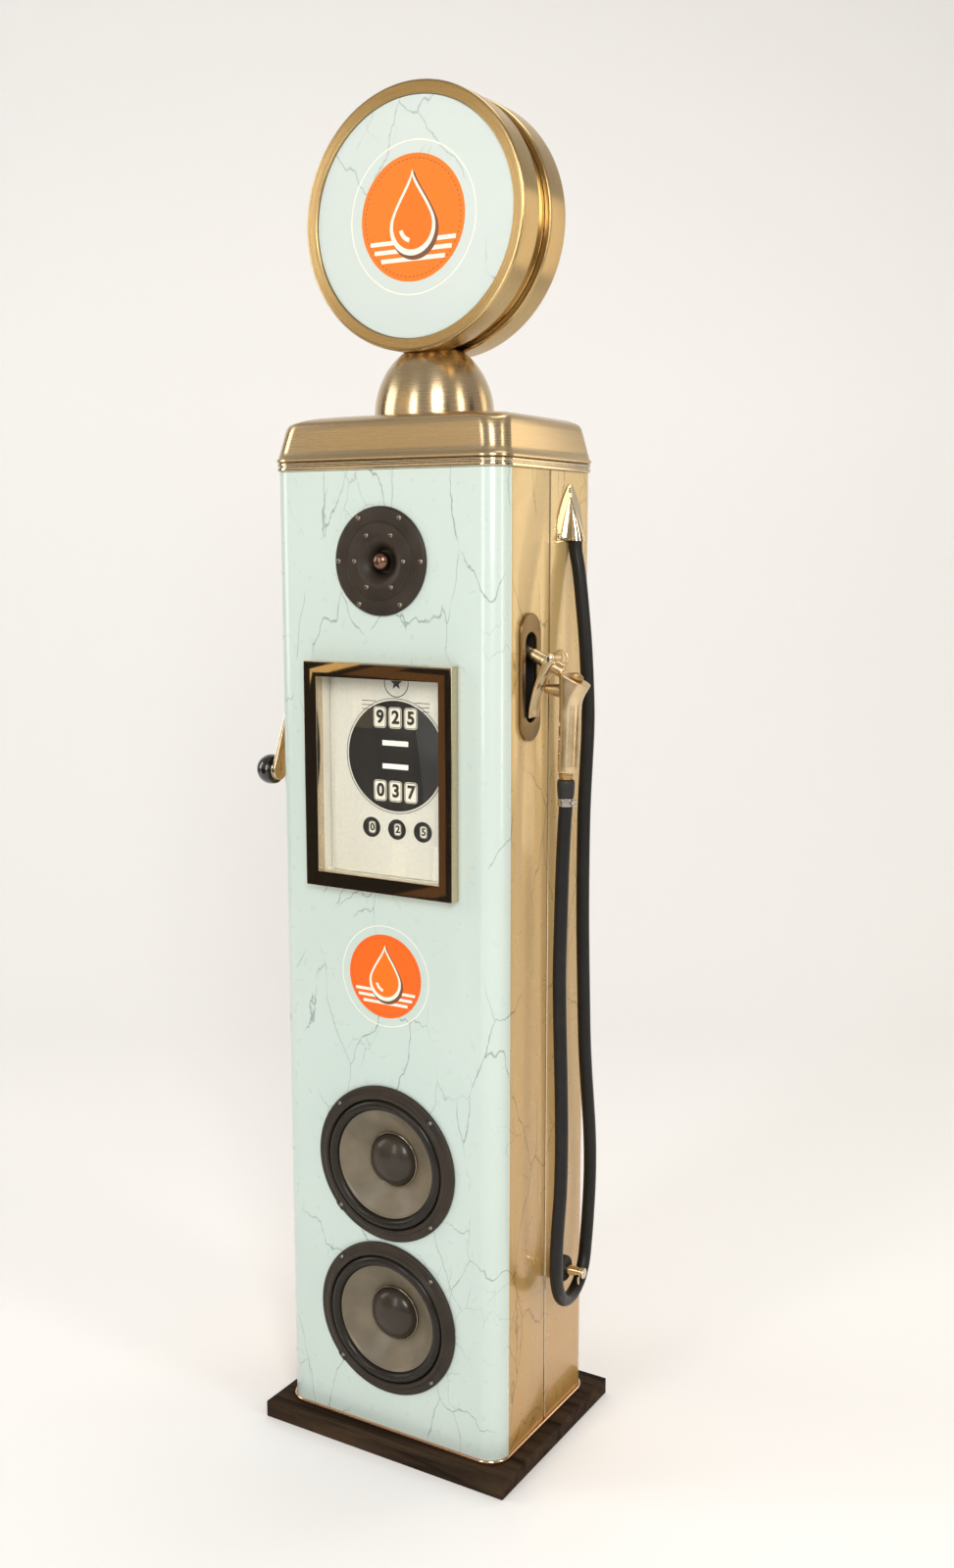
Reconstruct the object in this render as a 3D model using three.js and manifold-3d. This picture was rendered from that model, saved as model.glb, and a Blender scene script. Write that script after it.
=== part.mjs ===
// Retro petrol pump cabinet with built-in loudspeakers, a parked nozzle and a hand crank.
// Millimetres, +Z up, front towards -Y. The origin is the centre of the plinth's underside.
import * as THREE from 'three';
import { mergeVertices } from 'three/addons/utils/BufferGeometryUtils.js';
import Module from 'manifold-3d';

const wasm = await Module();
wasm.setup();

// ---- driving dimensions -------------------------------------------------------------------
const GAP = 0.3;
const BASE = { width: 365.7, depth: 286.2, height: 22 };
const BODY = {
  width: 325, depth: 239, corner: 27, bottom: 22.6, seam: 938, top: 1245.8, sheet: 1.6,
};
const SEAM = { half: 1.2, proud: 0.8, inside: 4 };
const BEAD = { foot: 5.8, top: 10.8, proud: 3, inset: 14 };
const POST = { side: 20, inset: 25 };
const BAFFLE = { thick: 12, halfWidth: 134, bottom: 60, top: 1222 };
const LID = { lip: 4, bottom: 1257.2, shoulder: 1309, crown: 1312.2, wall: 2.2 };
const NECK = { radius: 74, bulge: 90, height: 80, wall: 2.5 };
const GLOBE = { z: 1541.3, radius: 153.9, half: 51.3, face: 138.2, drum: 145.5, waist: 12.5 };
const DISPLAY = { z: 878.35, width: 214, height: 279.9, border: 19, proud: 14.8, depth: 24 };
const TWEETER = { z: 1138.8, radius: 64.7, hole: 52.5 };
const WOOFER = { radius: 101.4, hole: 88.5, heights: { woofer_upper: 387.7, woofer_lower: 180.3 } };
const AMPLIFIER = { z: 270, width: 210, height: 170, chassisWidth: 176, chassisHeight: 136, depth: 58 };
const BOOT = { y: -52.2, z: 1003.2, halfWidth: 23.8, halfHeight: 75.8, slotHalfWidth: 13.45,
  slotHalfHeight: 53.3, proud: 4.5, pocket: 68 };
const OUTLET = { y: 49, z: 1163, height: 66, halfWidth: 34, hoseX: 171.7 };
const PEG = { y: 29, z: 229, radius: 6.4, end: 205, bush: 17, bushEnd: 180 };
const HOSE = { diameter: 16.5, sides: 8, steps: 54 };
const NOZZLE = { pivotX: 197, pivotZ: 1027.5, spoutSlope: 0.445 };
const CRANK = { y: -49, z: 950, armInner: -187.2, armOuter: -191.7, knobX: -202, knobY: -79.9,
  knobZ: 870.1, knob: 19.5 };

const HALF_W = BODY.width / 2;
const HALF_D = BODY.depth / 2;
const CORNER_Y = HALF_D - BODY.corner;

// The hose's centre line, from inside the outlet cover down to the loop and up to the nozzle.
const HOSE_ROUTE = [
  [171.7, 49, 1166], [171.9, 49, 1152], [176.6, 48.5, 1128], [182.6, 48, 1082], [187.3, 48, 1035],
  [191, 48.8, 962], [191, 49, 930], [189.3, 49, 889], [187.4, 48.5, 838], [186.9, 48, 775],
  [187.1, 48.4, 690], [187.5, 50, 638], [187.4, 53, 586], [187, 57, 533], [187, 62, 490],
  [187.4, 67.5, 448], [187.8, 72.6, 407], [187.6, 75.8, 368], [186.8, 76.8, 330], [185.8, 75, 290],
  [185.7, 70.5, 256], [187, 61.5, 228], [189, 45.5, 210.5], [190.9, 24, 201.5], [193.3, 2, 203],
  [196.3, -18, 213.5], [199.8, -34.5, 233], [203.2, -46, 260], [206.6, -52, 292], [210, -54.8, 330],
  [212.8, -55, 370], [213.4, -54, 430], [211.8, -53, 500], [208.9, -52.2, 580], [207.4, -52, 645],
  [208.6, -52, 710], [210.4, -52.2, 780], [212.6, -52.2, 830], [214, -52.2, 850],
  [214.1, -52.2, 862.6],
];

// ---- finishes -----------------------------------------------------------------------------
const FINISH = {
  wood: { color: 0x3a2c22, roughness: 0.7, metalness: 0 },
  mint: { color: 0xd8e6df, roughness: 0.25, metalness: 0 },
  gold: { color: 0xcfb27c, roughness: 0.22, metalness: 0.6 },
  brushed: { color: 0xbea57d, roughness: 0.35, metalness: 1 },
  polished: { color: 0xd8c9a4, roughness: 0.08, metalness: 1 },
  bare: { color: 0xb9a987, roughness: 0.6, metalness: 0 },
  black: { color: 0x1c1916, roughness: 0.45, metalness: 0 },
  rubber: { color: 0x16140f, roughness: 0.6, metalness: 0 },
  cone: { color: 0x87786a, roughness: 0.55, metalness: 0 },
  copper: { color: 0x9a6e55, roughness: 0.25, metalness: 1 },
  brass: { color: 0xb98a4c, roughness: 0.3, metalness: 1 },
  steel: { color: 0xa8a49c, roughness: 0.35, metalness: 1 },
  dark: { color: 0x2b2724, roughness: 0.5, metalness: 0.7 },
  cream: { color: 0xeee9da, roughness: 0.5, metalness: 0 },
  opal: { color: 0xe0e8e2, roughness: 0.25, metalness: 0 },
  glass: { color: 0xeef4f2, roughness: 0.04, metalness: 0 },
};

const pump = new THREE.Group();

function addPart(parent, name, geometry, finish) {
  const part = new THREE.Mesh(
    geometry,
    new THREE.MeshStandardMaterial({ ...FINISH[finish], flatShading: true }),
  );
  part.name = name;
  parent.add(part);
  return part;
}

// A group whose own +Z points out of one side of the cabinet, with its own +Y upwards.
function facing(side, x, y, z) {
  const across = { front: [1, 0, 0], right: [0, 1, 0], left: [0, -1, 0], back: [-1, 0, 0] }[side];
  const out = { front: [0, -1, 0], right: [1, 0, 0], left: [-1, 0, 0], back: [0, 1, 0] }[side];
  const group = new THREE.Group();
  const basis = new THREE.Matrix4().makeBasis(
    new THREE.Vector3(...across),
    new THREE.Vector3(0, 0, 1),
    new THREE.Vector3(...out),
  );
  group.quaternion.setFromRotationMatrix(basis);
  group.position.set(x, y, z);
  pump.add(group);
  return group;
}

// The same geometry in the pump's own frame, for cutting through a part that stands there.
function worldOf(group, geometry) {
  group.updateMatrixWorld(true);
  return geometry.clone().applyMatrix4(group.matrixWorld);
}

// ---- solids -------------------------------------------------------------------------------
function volumeOf(points, index) {
  const [a, b, c] = [0, 1, 2].map(() => new THREE.Vector3());
  let sum = 0;
  for (let i = 0; i < index.length; i += 3) {
    a.fromBufferAttribute(points, index[i]);
    b.fromBufferAttribute(points, index[i + 1]);
    c.fromBufferAttribute(points, index[i + 2]);
    sum += a.dot(b.cross(c)) / 6;
  }
  return sum;
}

// Merges the shared corners, drops the slivers that an axis leaves and turns the faces outwards.
function closed(geometry) {
  const bare = geometry.clone();
  bare.deleteAttribute('normal');
  bare.deleteAttribute('uv');
  const merged = mergeVertices(bare, 1e-4);
  const all = merged.getIndex().array;
  let kept = [];
  for (let i = 0; i < all.length; i += 3) {
    const [a, b, c] = all.slice(i, i + 3);
    if (a !== b && b !== c && c !== a) kept.push(a, b, c);
  }
  if (volumeOf(merged.getAttribute('position'), kept) < 0) kept = kept.reverse();
  merged.setIndex(kept);
  merged.clearGroups();
  return merged;
}

function toSolid(geometry) {
  const mesh = closed(geometry);
  return new wasm.Manifold(new wasm.Mesh({
    numProp: 3,
    vertProperties: new Float32Array(mesh.getAttribute('position').array),
    triVerts: new Uint32Array(mesh.getIndex().array),
  }));
}

function toGeometry(solid) {
  const mesh = solid.getMesh();
  const geometry = new THREE.BufferGeometry();
  geometry.setAttribute('position', new THREE.BufferAttribute(new Float32Array(mesh.vertProperties), 3));
  geometry.setIndex([...mesh.triVerts]);
  return geometry;
}

function cut(body, ...tools) {
  return toGeometry(tools.reduce((solid, tool) => solid.subtract(toSolid(tool)), toSolid(body)));
}

function join(...pieces) {
  return toGeometry(pieces.slice(1).reduce((solid, piece) => solid.add(toSolid(piece)), toSolid(pieces[0])));
}

function slab(outline, depth, curveSegments = 3) {
  return new THREE.ExtrudeGeometry(outline, { depth, bevelEnabled: false, curveSegments });
}

// A profile of [radius, height] points turned about +Z.
function turned(profile, segments = 40) {
  const points = profile.map(([radius, height]) => new THREE.Vector2(radius, height));
  return closed(new THREE.LatheGeometry(points, segments).rotateX(Math.PI / 2));
}

// A profile that goes round and meets itself, turned about +Z.
function turnedRing(profile, segments = 40) {
  return turned([...profile, profile[0]], segments);
}

function disc(radius, from, to, segments = 24) {
  return turned([[0, from], [radius, from], [radius, to], [0, to]], segments);
}

function block(width, depth, height, x, y, z) {
  return new THREE.BoxGeometry(width, depth, height).translate(x, y, z);
}

// Joins rings with the same number of points into one solid with flat ends.
function loft(rings) {
  const count = rings[0].length;
  const points = rings.flat();
  const index = [];
  for (let r = 0; r + 1 < rings.length; r += 1) {
    for (let i = 0; i < count; i += 1) {
      const [a, b] = [r * count + i, r * count + (i + 1) % count];
      index.push(a, b, b + count, a, b + count, a + count);
    }
  }
  const last = (rings.length - 1) * count;
  for (let i = 1; i + 1 < count; i += 1) {
    index.push(0, i + 1, i, last, last + i, last + i + 1);
  }
  const geometry = new THREE.BufferGeometry().setFromPoints(points);
  geometry.setIndex(index);
  return closed(geometry);
}

// A rounded rectangle as a ring of points; height is a number or a function of x and y.
function roundedRing(cx, cy, halfX, halfY, corner, height, steps = 5) {
  const ring = [];
  const centres = [[1, -1], [1, 1], [-1, 1], [-1, -1]];
  centres.forEach(([sx, sy], quarter) => {
    for (let i = 0; i <= steps; i += 1) {
      const angle = (quarter - 1 + i / steps) * Math.PI / 2;
      const x = sx * (halfX - corner) + corner * Math.cos(angle);
      const y = sy * (halfY - corner) + corner * Math.sin(angle);
      const z = typeof height === 'function' ? height(x, y) : height;
      ring.push(new THREE.Vector3(cx + x, cy + y, z));
    }
  });
  return ring;
}

// ---- outlines -----------------------------------------------------------------------------
function rectangle(halfWidth, halfHeight, x = 0, y = 0) {
  const shape = new THREE.Shape();
  shape.moveTo(x - halfWidth, y - halfHeight);
  shape.lineTo(x + halfWidth, y - halfHeight);
  shape.lineTo(x + halfWidth, y + halfHeight);
  shape.lineTo(x - halfWidth, y + halfHeight);
  shape.closePath();
  return shape;
}

function roundedRectangle(halfWidth, halfHeight, corner) {
  const [w, h] = [halfWidth - corner, halfHeight - corner];
  const shape = new THREE.Shape();
  shape.absarc(w, -h, corner, -Math.PI / 2, 0, false);
  shape.absarc(w, h, corner, 0, Math.PI / 2, false);
  shape.absarc(-w, h, corner, Math.PI / 2, Math.PI, false);
  shape.absarc(-w, -h, corner, Math.PI, 1.5 * Math.PI, false);
  shape.closePath();
  return shape;
}

function stadium(halfWidth, halfHeight, x = 0, y = 0) {
  const rise = halfHeight - halfWidth;
  const shape = new THREE.Shape();
  shape.absarc(x, y + rise, halfWidth, 0, Math.PI, false);
  shape.absarc(x, y - rise, halfWidth, Math.PI, 2 * Math.PI, false);
  shape.closePath();
  return shape;
}

// Half of the cabinet's skin: both corners of one end and its sides up to the line at edge.
function shellOutline(edge) {
  const { corner, sheet } = BODY;
  const [x, y] = [HALF_W - corner, HALF_D - corner];
  const shape = new THREE.Shape();
  shape.moveTo(HALF_W, edge);
  shape.absarc(x, y, corner, 0, Math.PI / 2, false);
  shape.absarc(-x, y, corner, Math.PI / 2, Math.PI, false);
  shape.lineTo(-HALF_W, edge);
  shape.lineTo(-HALF_W + sheet, edge);
  shape.absarc(-x, y, corner - sheet, Math.PI, Math.PI / 2, true);
  shape.absarc(x, y, corner - sheet, Math.PI / 2, 0, true);
  shape.lineTo(HALF_W - sheet, edge);
  shape.closePath();
  return shape;
}

// ---- stand and cabinet --------------------------------------------------------------------
function addBase() {
  addPart(pump, 'base_board', block(BASE.width, BASE.depth, BASE.height, 0, 0, 0), 'wood')
    .position.z = BASE.height / 2;
  const outline = roundedRectangle(HALF_W + BEAD.proud, HALF_D + BEAD.proud, BODY.corner + BEAD.proud);
  outline.holes.push(roundedRectangle(HALF_W + GAP, HALF_D + GAP, BODY.corner + GAP));
  addPart(pump, 'foot_bead', slab(outline, BEAD.foot), 'polished').position.z = BASE.height + GAP;
}

// The round and square openings in the front, each grown by a clearance.
function frontCutters(clearance, from, depth) {
  const cutters = [
    slab(rectangle(94 + clearance, 127 + clearance, 0, DISPLAY.z), depth),
    disc(TWEETER.hole + clearance, 0, depth, 36).translate(0, TWEETER.z, 0),
    ...Object.values(WOOFER.heights).map(
      (z) => disc(WOOFER.hole + clearance, 0, depth, 40).translate(0, z, 0),
    ),
  ];
  const group = facing('front', 0, from, 0);
  pump.remove(group);
  return cutters.map((cutter) => worldOf(group, cutter));
}

// The right-hand sheet is in two lengths that meet behind the lower end of the boot plate.
function addRightPanel(halfLength, middle) {
  const side = facing('right', HALF_W - BODY.sheet, 0, 0);
  const lowerHalf = (BODY.seam - GAP - BODY.bottom) / 2;
  const lower = rectangle(halfLength, lowerHalf, middle, BODY.bottom + lowerHalf);
  addPart(side, 'side_panel_right_lower', slab(lower, BODY.sheet), 'gold');
  const upperHalf = (BODY.top - BODY.seam) / 2;
  const upper = rectangle(halfLength, upperHalf, middle, BODY.seam + upperHalf);
  upper.holes.push(stadium(BOOT.slotHalfWidth + 2.5, BOOT.slotHalfHeight + 2.5, BOOT.y, BOOT.z));
  addPart(side, 'side_panel_right', slab(upper, BODY.sheet, 6), 'gold');
}

function addCabinet() {
  const height = BODY.top - BODY.bottom;
  const front = slab(shellOutline(CORNER_Y - GAP), height)
    .rotateZ(Math.PI)
    .translate(0, 0, BODY.bottom);
  addPart(pump, 'front_shell', cut(front, ...frontCutters(0, -HALF_D + 10, 20)), 'mint');

  const sideLength = CORNER_Y - 2 * GAP - SEAM.half - GAP;
  const middle = (SEAM.half + GAP + CORNER_Y - 2 * GAP) / 2;
  addRightPanel(sideLength / 2, -middle);
  const left = rectangle(sideLength / 2, height / 2, middle, BODY.bottom + height / 2);
  const bushHole = new THREE.Path().absarc(-CRANK.y, CRANK.z, 9.5, 0, 2 * Math.PI, false);
  left.holes.push(bushHole);
  addPart(facing('left', -HALF_W + BODY.sheet, 0, 0), 'side_panel_left', slab(left, BODY.sheet, 10), 'gold');

  const rear = slab(shellOutline(SEAM.half + GAP), height).translate(0, 0, BODY.bottom);
  const back = facing('back', 0, HALF_D - 10, AMPLIFIER.z);
  pump.remove(back);
  const window = slab(rectangle(AMPLIFIER.chassisWidth / 2 + 2, AMPLIFIER.chassisHeight / 2 + 2), 20);
  const side = facing('right', HALF_W - 10, 0, 0);
  pump.remove(side);
  const stud = disc(3.4, 0, 20, 16).translate(PEG.y, PEG.z, 0);
  addPart(pump, 'rear_shell', cut(rear, worldOf(back, window), worldOf(side, stud)), 'gold');

  const stripWidth = SEAM.inside + SEAM.proud;
  for (const [name, side] of [['seam_strip_right', 1], ['seam_strip_left', -1]]) {
    const stripHeight = height - BEAD.foot - GAP;
    const strip = new THREE.BoxGeometry(stripWidth, 2 * SEAM.half, stripHeight);
    addPart(pump, name, strip, 'polished')
      .position.set(side * (HALF_W + SEAM.proud - stripWidth / 2), 0, BODY.top - stripHeight / 2);
  }
}

function addInside() {
  const postTop = BODY.top - 12 - GAP;
  const postHeight = postTop - BODY.bottom;
  const posts = [[1, 1], [1, -1], [-1, 1], [-1, -1]].map(([sx, sy]) => block(
    POST.side, POST.side, postHeight,
    sx * (HALF_W - POST.inset), sy * (HALF_D - POST.inset), BODY.bottom + postHeight / 2,
  ));
  const [railX, railY] = [HALF_W - POST.inset, HALF_D - POST.inset];
  const rails = [BODY.bottom + POST.side / 2, postTop - POST.side / 2].flatMap((z) => [
    block(2 * railX, POST.side, POST.side, 0, railY, z),
    block(2 * railX, POST.side, POST.side, 0, -railY, z),
    block(POST.side, 2 * railY, POST.side, railX, 0, z),
    block(POST.side, 2 * railY, POST.side, -railX, 0, z),
  ]);
  addPart(pump, 'inner_frame', join(...posts, ...rails), 'bare');

  const face = HALF_D - BODY.sheet - GAP;
  const middle = (BAFFLE.top + BAFFLE.bottom) / 2;
  const board = block(
    2 * BAFFLE.halfWidth, BAFFLE.thick, BAFFLE.top - BAFFLE.bottom, 0, -face + BAFFLE.thick / 2, middle,
  );
  addPart(pump, 'speaker_baffle', cut(board, ...frontCutters(1, -HALF_D + 20, 30)), 'bare');

  const inset = BODY.sheet + GAP;
  const lidBoard = roundedRectangle(HALF_W - inset - SEAM.inside, HALF_D - inset, BODY.corner - inset);
  addPart(pump, 'top_plate', slab(lidBoard, 12), 'bare').position.z = BODY.top - 12;
}

// ---- head ---------------------------------------------------------------------------------
function lidCrease(x, y) {
  const cornerness = Math.min(Math.abs(x) / 156, Math.abs(y) / 112);
  return LID.shoulder - 8 * cornerness ** 2;
}

function addLid() {
  const { lip, bottom, crown, wall } = LID;
  const outline = roundedRectangle(HALF_W + BEAD.proud, HALF_D + BEAD.proud, BODY.corner + BEAD.proud);
  outline.holes.push(roundedRectangle(HALF_W - BEAD.inset, HALF_D - BEAD.inset, 15));
  addPart(pump, 'top_bead', slab(outline, BEAD.top), 'polished').position.z = BODY.top + GAP;

  const [w, d, r] = [HALF_W + lip, HALF_D + lip, BODY.corner + lip];
  const outer = loft([
    roundedRing(0, 0, w, d, r, bottom),
    roundedRing(0, 0, w, d, r, bottom + 3.8),
    roundedRing(0, 0, w - 2.6, d - 2.6, r - 2.6, bottom + 5),
    roundedRing(0, 0, 156, 111.9, 29, lidCrease),
    roundedRing(0, 0, 140, 98, 34, crown - 0.9),
    roundedRing(0, 0, 110, 80, 44, crown),
  ]);
  const inner = loft([
    roundedRing(0, 0, w - 3, d - 3, r - 3, bottom - 1),
    roundedRing(0, 0, w - 5, d - 5, r - 5, bottom + 5),
    roundedRing(0, 0, 153.4, 109.3, 26.5, (x, y) => lidCrease(x, y) - wall),
    roundedRing(0, 0, 138, 96, 32, crown - 0.9 - wall),
    roundedRing(0, 0, 110, 80, 44, crown - wall),
  ]);
  addPart(pump, 'lid', cut(outer, inner), 'brushed');
}

function addNeck() {
  const { radius, bulge, height, wall } = NECK;
  const foot = LID.crown + GAP;
  const steps = 5;
  const outer = [];
  const inner = [];
  for (let i = 0; i <= steps; i += 1) {
    const rise = height * Math.sin(i / steps * Math.PI / 2);
    const across = radius * Math.sqrt(1 - (rise / bulge) ** 2);
    outer.push([across, rise]);
    inner.unshift([across - wall, Math.min(rise, height - 11)]);
  }
  const dome = turned([[0, height - 11], ...inner.slice(2), ...outer, [0, height]], 36)
    .translate(0, 0, foot);
  const saddle = facing('front', 0, 0, GLOBE.z);
  pump.remove(saddle);
  const drum = worldOf(saddle, disc(GLOBE.radius + 0.5, -90, 90, 72));
  addPart(pump, 'neck', cut(dome, drum), 'brushed');
}

function addGlobe() {
  const { radius, half, face, drum, waist, z } = GLOBE;
  const ring = turnedRing([
    [drum + 0.4, waist], [radius, waist + 3], [radius, half - 2], [radius - 2.3, half],
    [face + 0.4, half - 1.4], [face + 0.4, 44], [face - 3.7, 44], [face - 3.7, 41.5],
    [radius - 3, 41.5], [radius - 3, waist + 5.4], [drum + 0.4, waist + 3.8],
  ], 48);
  const pane = disc(face, 44.3, 47.3, 48);
  const front = facing('front', 0, 0, z);
  const back = facing('back', 0, 0, z);
  addPart(front, 'globe_ring_front', ring, 'brushed');
  addPart(front, 'globe_face_front', pane, 'opal');
  addPart(back, 'globe_ring_rear', ring.clone(), 'brushed');
  addPart(back, 'globe_face_rear', pane.clone(), 'opal');
  const tube = turnedRing([[drum - 3, -40.5], [drum, -40.5], [drum, 40.5], [drum - 3, 40.5]], 48);
  addPart(front, 'globe_drum', tube, 'polished');

  const seat = z - drum + 4.6;
  const lamp = turned([
    [0, 0], [20, 0], [20, 30], [14, 44], [14, 56], [26, 78], [30, 94], [26, 110], [0, 124],
  ], 16);
  addPart(pump, 'globe_lamp', lamp, 'opal').position.z = seat;
}

// ---- display ------------------------------------------------------------------------------
function addDisplay() {
  const { width, height, border, proud, depth, z } = DISPLAY;
  const face = facing('front', 0, -HALF_D, z);
  const [halfW, halfH] = [width / 2, height / 2];
  const [openW, openH] = [halfW - border, halfH - border];
  const bezel = cut(
    slab(rectangle(halfW, halfH), proud - GAP).translate(0, 0, GAP),
    slab(rectangle(openW, openH), proud + 2).translate(0, 0, -1),
    slab(rectangle(openW + 4, openH + 4), 3.4).translate(0, 0, -0.4),
  );
  addPart(face, 'display_frame', bezel, 'polished');
  const pane = slab(rectangle(openW + 3.5, openH + 3.5), 2);
  addPart(face, 'display_glass', pane, 'glass').position.z = 0.6;
  const tray = cut(
    slab(rectangle(openW + 4, openH + 4), depth).translate(0, 0, -depth),
    slab(rectangle(openW + 1, openH + 1), depth).translate(0, 0, 3 - depth),
  );
  addPart(face, 'display_box', tray, 'cream');
  const card = slab(rectangle(openW + 0.6, openH + 0.6), 1.5);
  addPart(face, 'dial_plate', card, 'cream').position.z = 3 + GAP - depth;
}

// ---- loudspeakers -------------------------------------------------------------------------
// Screw heads on a pitch circle, from inside the plate that they hold up to their own tops.
function screwHeads(count, pitchRadius, headRadius, top, start = 0) {
  return Array.from({ length: count }, (_, i) => {
    const angle = start + i * 2 * Math.PI / count;
    return disc(headRadius, 2, top, 8)
      .translate(pitchRadius * Math.cos(angle), pitchRadius * Math.sin(angle), 0);
  });
}

function addTweeter() {
  const face = facing('front', 0, -HALF_D, TWEETER.z);
  const plate = turned([
    [0, -48], [36, -48], [36, -18], [50, -18], [50, GAP], [TWEETER.radius, GAP], [TWEETER.radius, 3], [TWEETER.radius - 2, 4.6],
    [31, 5.6], [24, 3.4], [18.5, -2], [14.2, -14], [0, -14],
  ], 32);
  const heads = [...screwHeads(6, 58.5, 3.2, 6.2), ...screwHeads(6, 35, 2.9, 6.9)];
  addPart(face, 'tweeter_plate', join(plate, ...heads), 'black');
  const plug = turned([
    [0, -13.7], [5.5, -13.7], [5.5, -9], [9.6, -7.2], [11.5, -2.2], [9.9, 3.6], [5.8, 7.7], [0, 9.2],
  ], 20);
  addPart(face, 'tweeter_plug', plug, 'copper');
}

function addWoofer(name, z) {
  const face = facing('front', 0, -HALF_D, z);
  const { radius } = WOOFER;
  const basket = turned([
    [0, -88], [52, -88], [52, -62], [87.5, -6], [87.5, GAP], [radius, GAP], [radius, 3.6],
    [radius - 3, 5], [92, 5], [89, 9], [84.6, 7.4], [84.6, -2], [44, -50], [44, -59], [0, -59],
  ], 32);
  const heads = screwHeads(4, 96.3, 2.9, 6.6, Math.PI / 4);
  addPart(face, `${name}_frame`, join(basket, ...heads), 'black');
  const roll = turnedRing([[84.3, 2], [83.2, 7.6], [77.6, 10.4], [71.8, 7.6], [70.6, 2]], 32);
  addPart(face, `${name}_surround`, roll, 'rubber');
  const cone = turnedRing([
    [70.3, 4.6], [17.4, -25], [17.4, -52], [19, -52], [19, -26.4], [70.3, 2.6],
  ], 32);
  addPart(face, `${name}_cone`, cone, 'cone');
  const cap = turned([[0, -17.2], [34.4, -15.7], [31, -8.6], [23, -2.4], [12, 1.2], [0, 2.4]], 24);
  addPart(face, `${name}_cap`, cap.translate(0, 0, GAP), 'black');
}

// ---- amplifier ----------------------------------------------------------------------------
function addAmplifier() {
  const { width, height, chassisWidth, chassisHeight, depth, z } = AMPLIFIER;
  const back = facing('back', 0, HALF_D, z);
  const plateTop = 3;
  const fins = Array.from({ length: 8 }, (_, i) => block(3, 96, 9, 12 + 9 * i, 14, plateTop + 3.5));
  const housing = cut(
    join(
      slab(rectangle(width / 2, height / 2), plateTop - GAP).translate(0, 0, GAP),
      block(chassisWidth, chassisHeight, depth, 0, 0, 1 - depth / 2),
      ...fins,
    ),
    block(28.4, 20.8, 40, -60, -40, 0),
    block(15.4, 21.4, 24, -60, 6, 0),
  );
  addPart(back, 'amplifier', housing, 'dark');
  const inletPins = [[-7, -2], [0, 2], [7, -2]].map(([x, y]) => block(2, 5, 9.5, x, y, -7.5));
  const inlet = join(
    cut(
      join(
        slab(roundedRectangle(20, 14, 3), 2.5).translate(0, 0, plateTop + GAP),
        block(27.8, 20.2, 17, 0, 0, plateTop + 0.5 - 8.5),
      ),
      block(22, 14, 20, 0, 0, -2),
    ),
    ...inletPins,
  );
  addPart(back, 'power_inlet', inlet, 'black').position.set(-60, -40, 0);

  const side = new THREE.Shape();
  side.moveTo(-8.6, 7.2);
  side.lineTo(-8.2, -6);
  side.lineTo(8.2, -6);
  side.lineTo(8.6, 1.6);
  side.lineTo(0.5, 3.4);
  side.closePath();
  const rocker = slab(side, 14).translate(0, 0, -7).rotateY(-Math.PI / 2).rotateX(Math.PI / 2).rotateZ(Math.PI);
  addPart(back, 'power_switch', rocker, 'black').position.set(-60, 6, 0);
}

// ---- nozzle side --------------------------------------------------------------------------
function addBoot() {
  const side = facing('right', HALF_W, 0, 0);
  const { y, z, halfWidth, halfHeight, slotHalfWidth, slotHalfHeight, proud, pocket } = BOOT;
  const escutcheon = cut(
    loft([
      stadiumRing(y, z, halfWidth, halfHeight, GAP),
      stadiumRing(y, z, halfWidth, halfHeight, proud - 1.4),
      stadiumRing(y, z, halfWidth - 1.4, halfHeight - 1.4, proud),
    ]),
    slab(stadium(slotHalfWidth, slotHalfHeight, y, z), 12, 6).translate(0, 0, -3),
  );
  addPart(side, 'boot_plate', escutcheon, 'brushed');
  const tray = cut(
    slab(stadium(slotHalfWidth + 2, slotHalfHeight + 2, y, z), pocket, 6).translate(0, 0, -pocket),
    slab(stadium(slotHalfWidth + 0.4, slotHalfHeight + 0.4, y, z), pocket, 6).translate(0, 0, 2 - pocket),
  );
  addPart(side, 'boot_pocket', tray, 'black');
}

function stadiumRing(cx, cy, halfWidth, halfHeight, height) {
  return stadium(halfWidth, halfHeight, cx, cy)
    .getPoints(6)
    .slice(0, -1)
    .map((point) => new THREE.Vector3(point.x, point.y, height));
}

// One section of the tapered cover: straight sides from the plate and a round outer end.
function scoopSection(scale, inset, height) {
  const reach = (OUTLET.hoseX - HALF_W) * scale;
  const radius = Math.max(10.6 * scale - inset, 0.6);
  const ring = [new THREE.Vector3(-2, -radius, height)];
  for (let i = 0; i <= 10; i += 1) {
    const angle = -Math.PI / 2 + i * Math.PI / 10;
    ring.push(new THREE.Vector3(reach + radius * Math.cos(angle), radius * Math.sin(angle), height));
  }
  ring.push(new THREE.Vector3(-2, radius, height));
  return ring;
}

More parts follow.
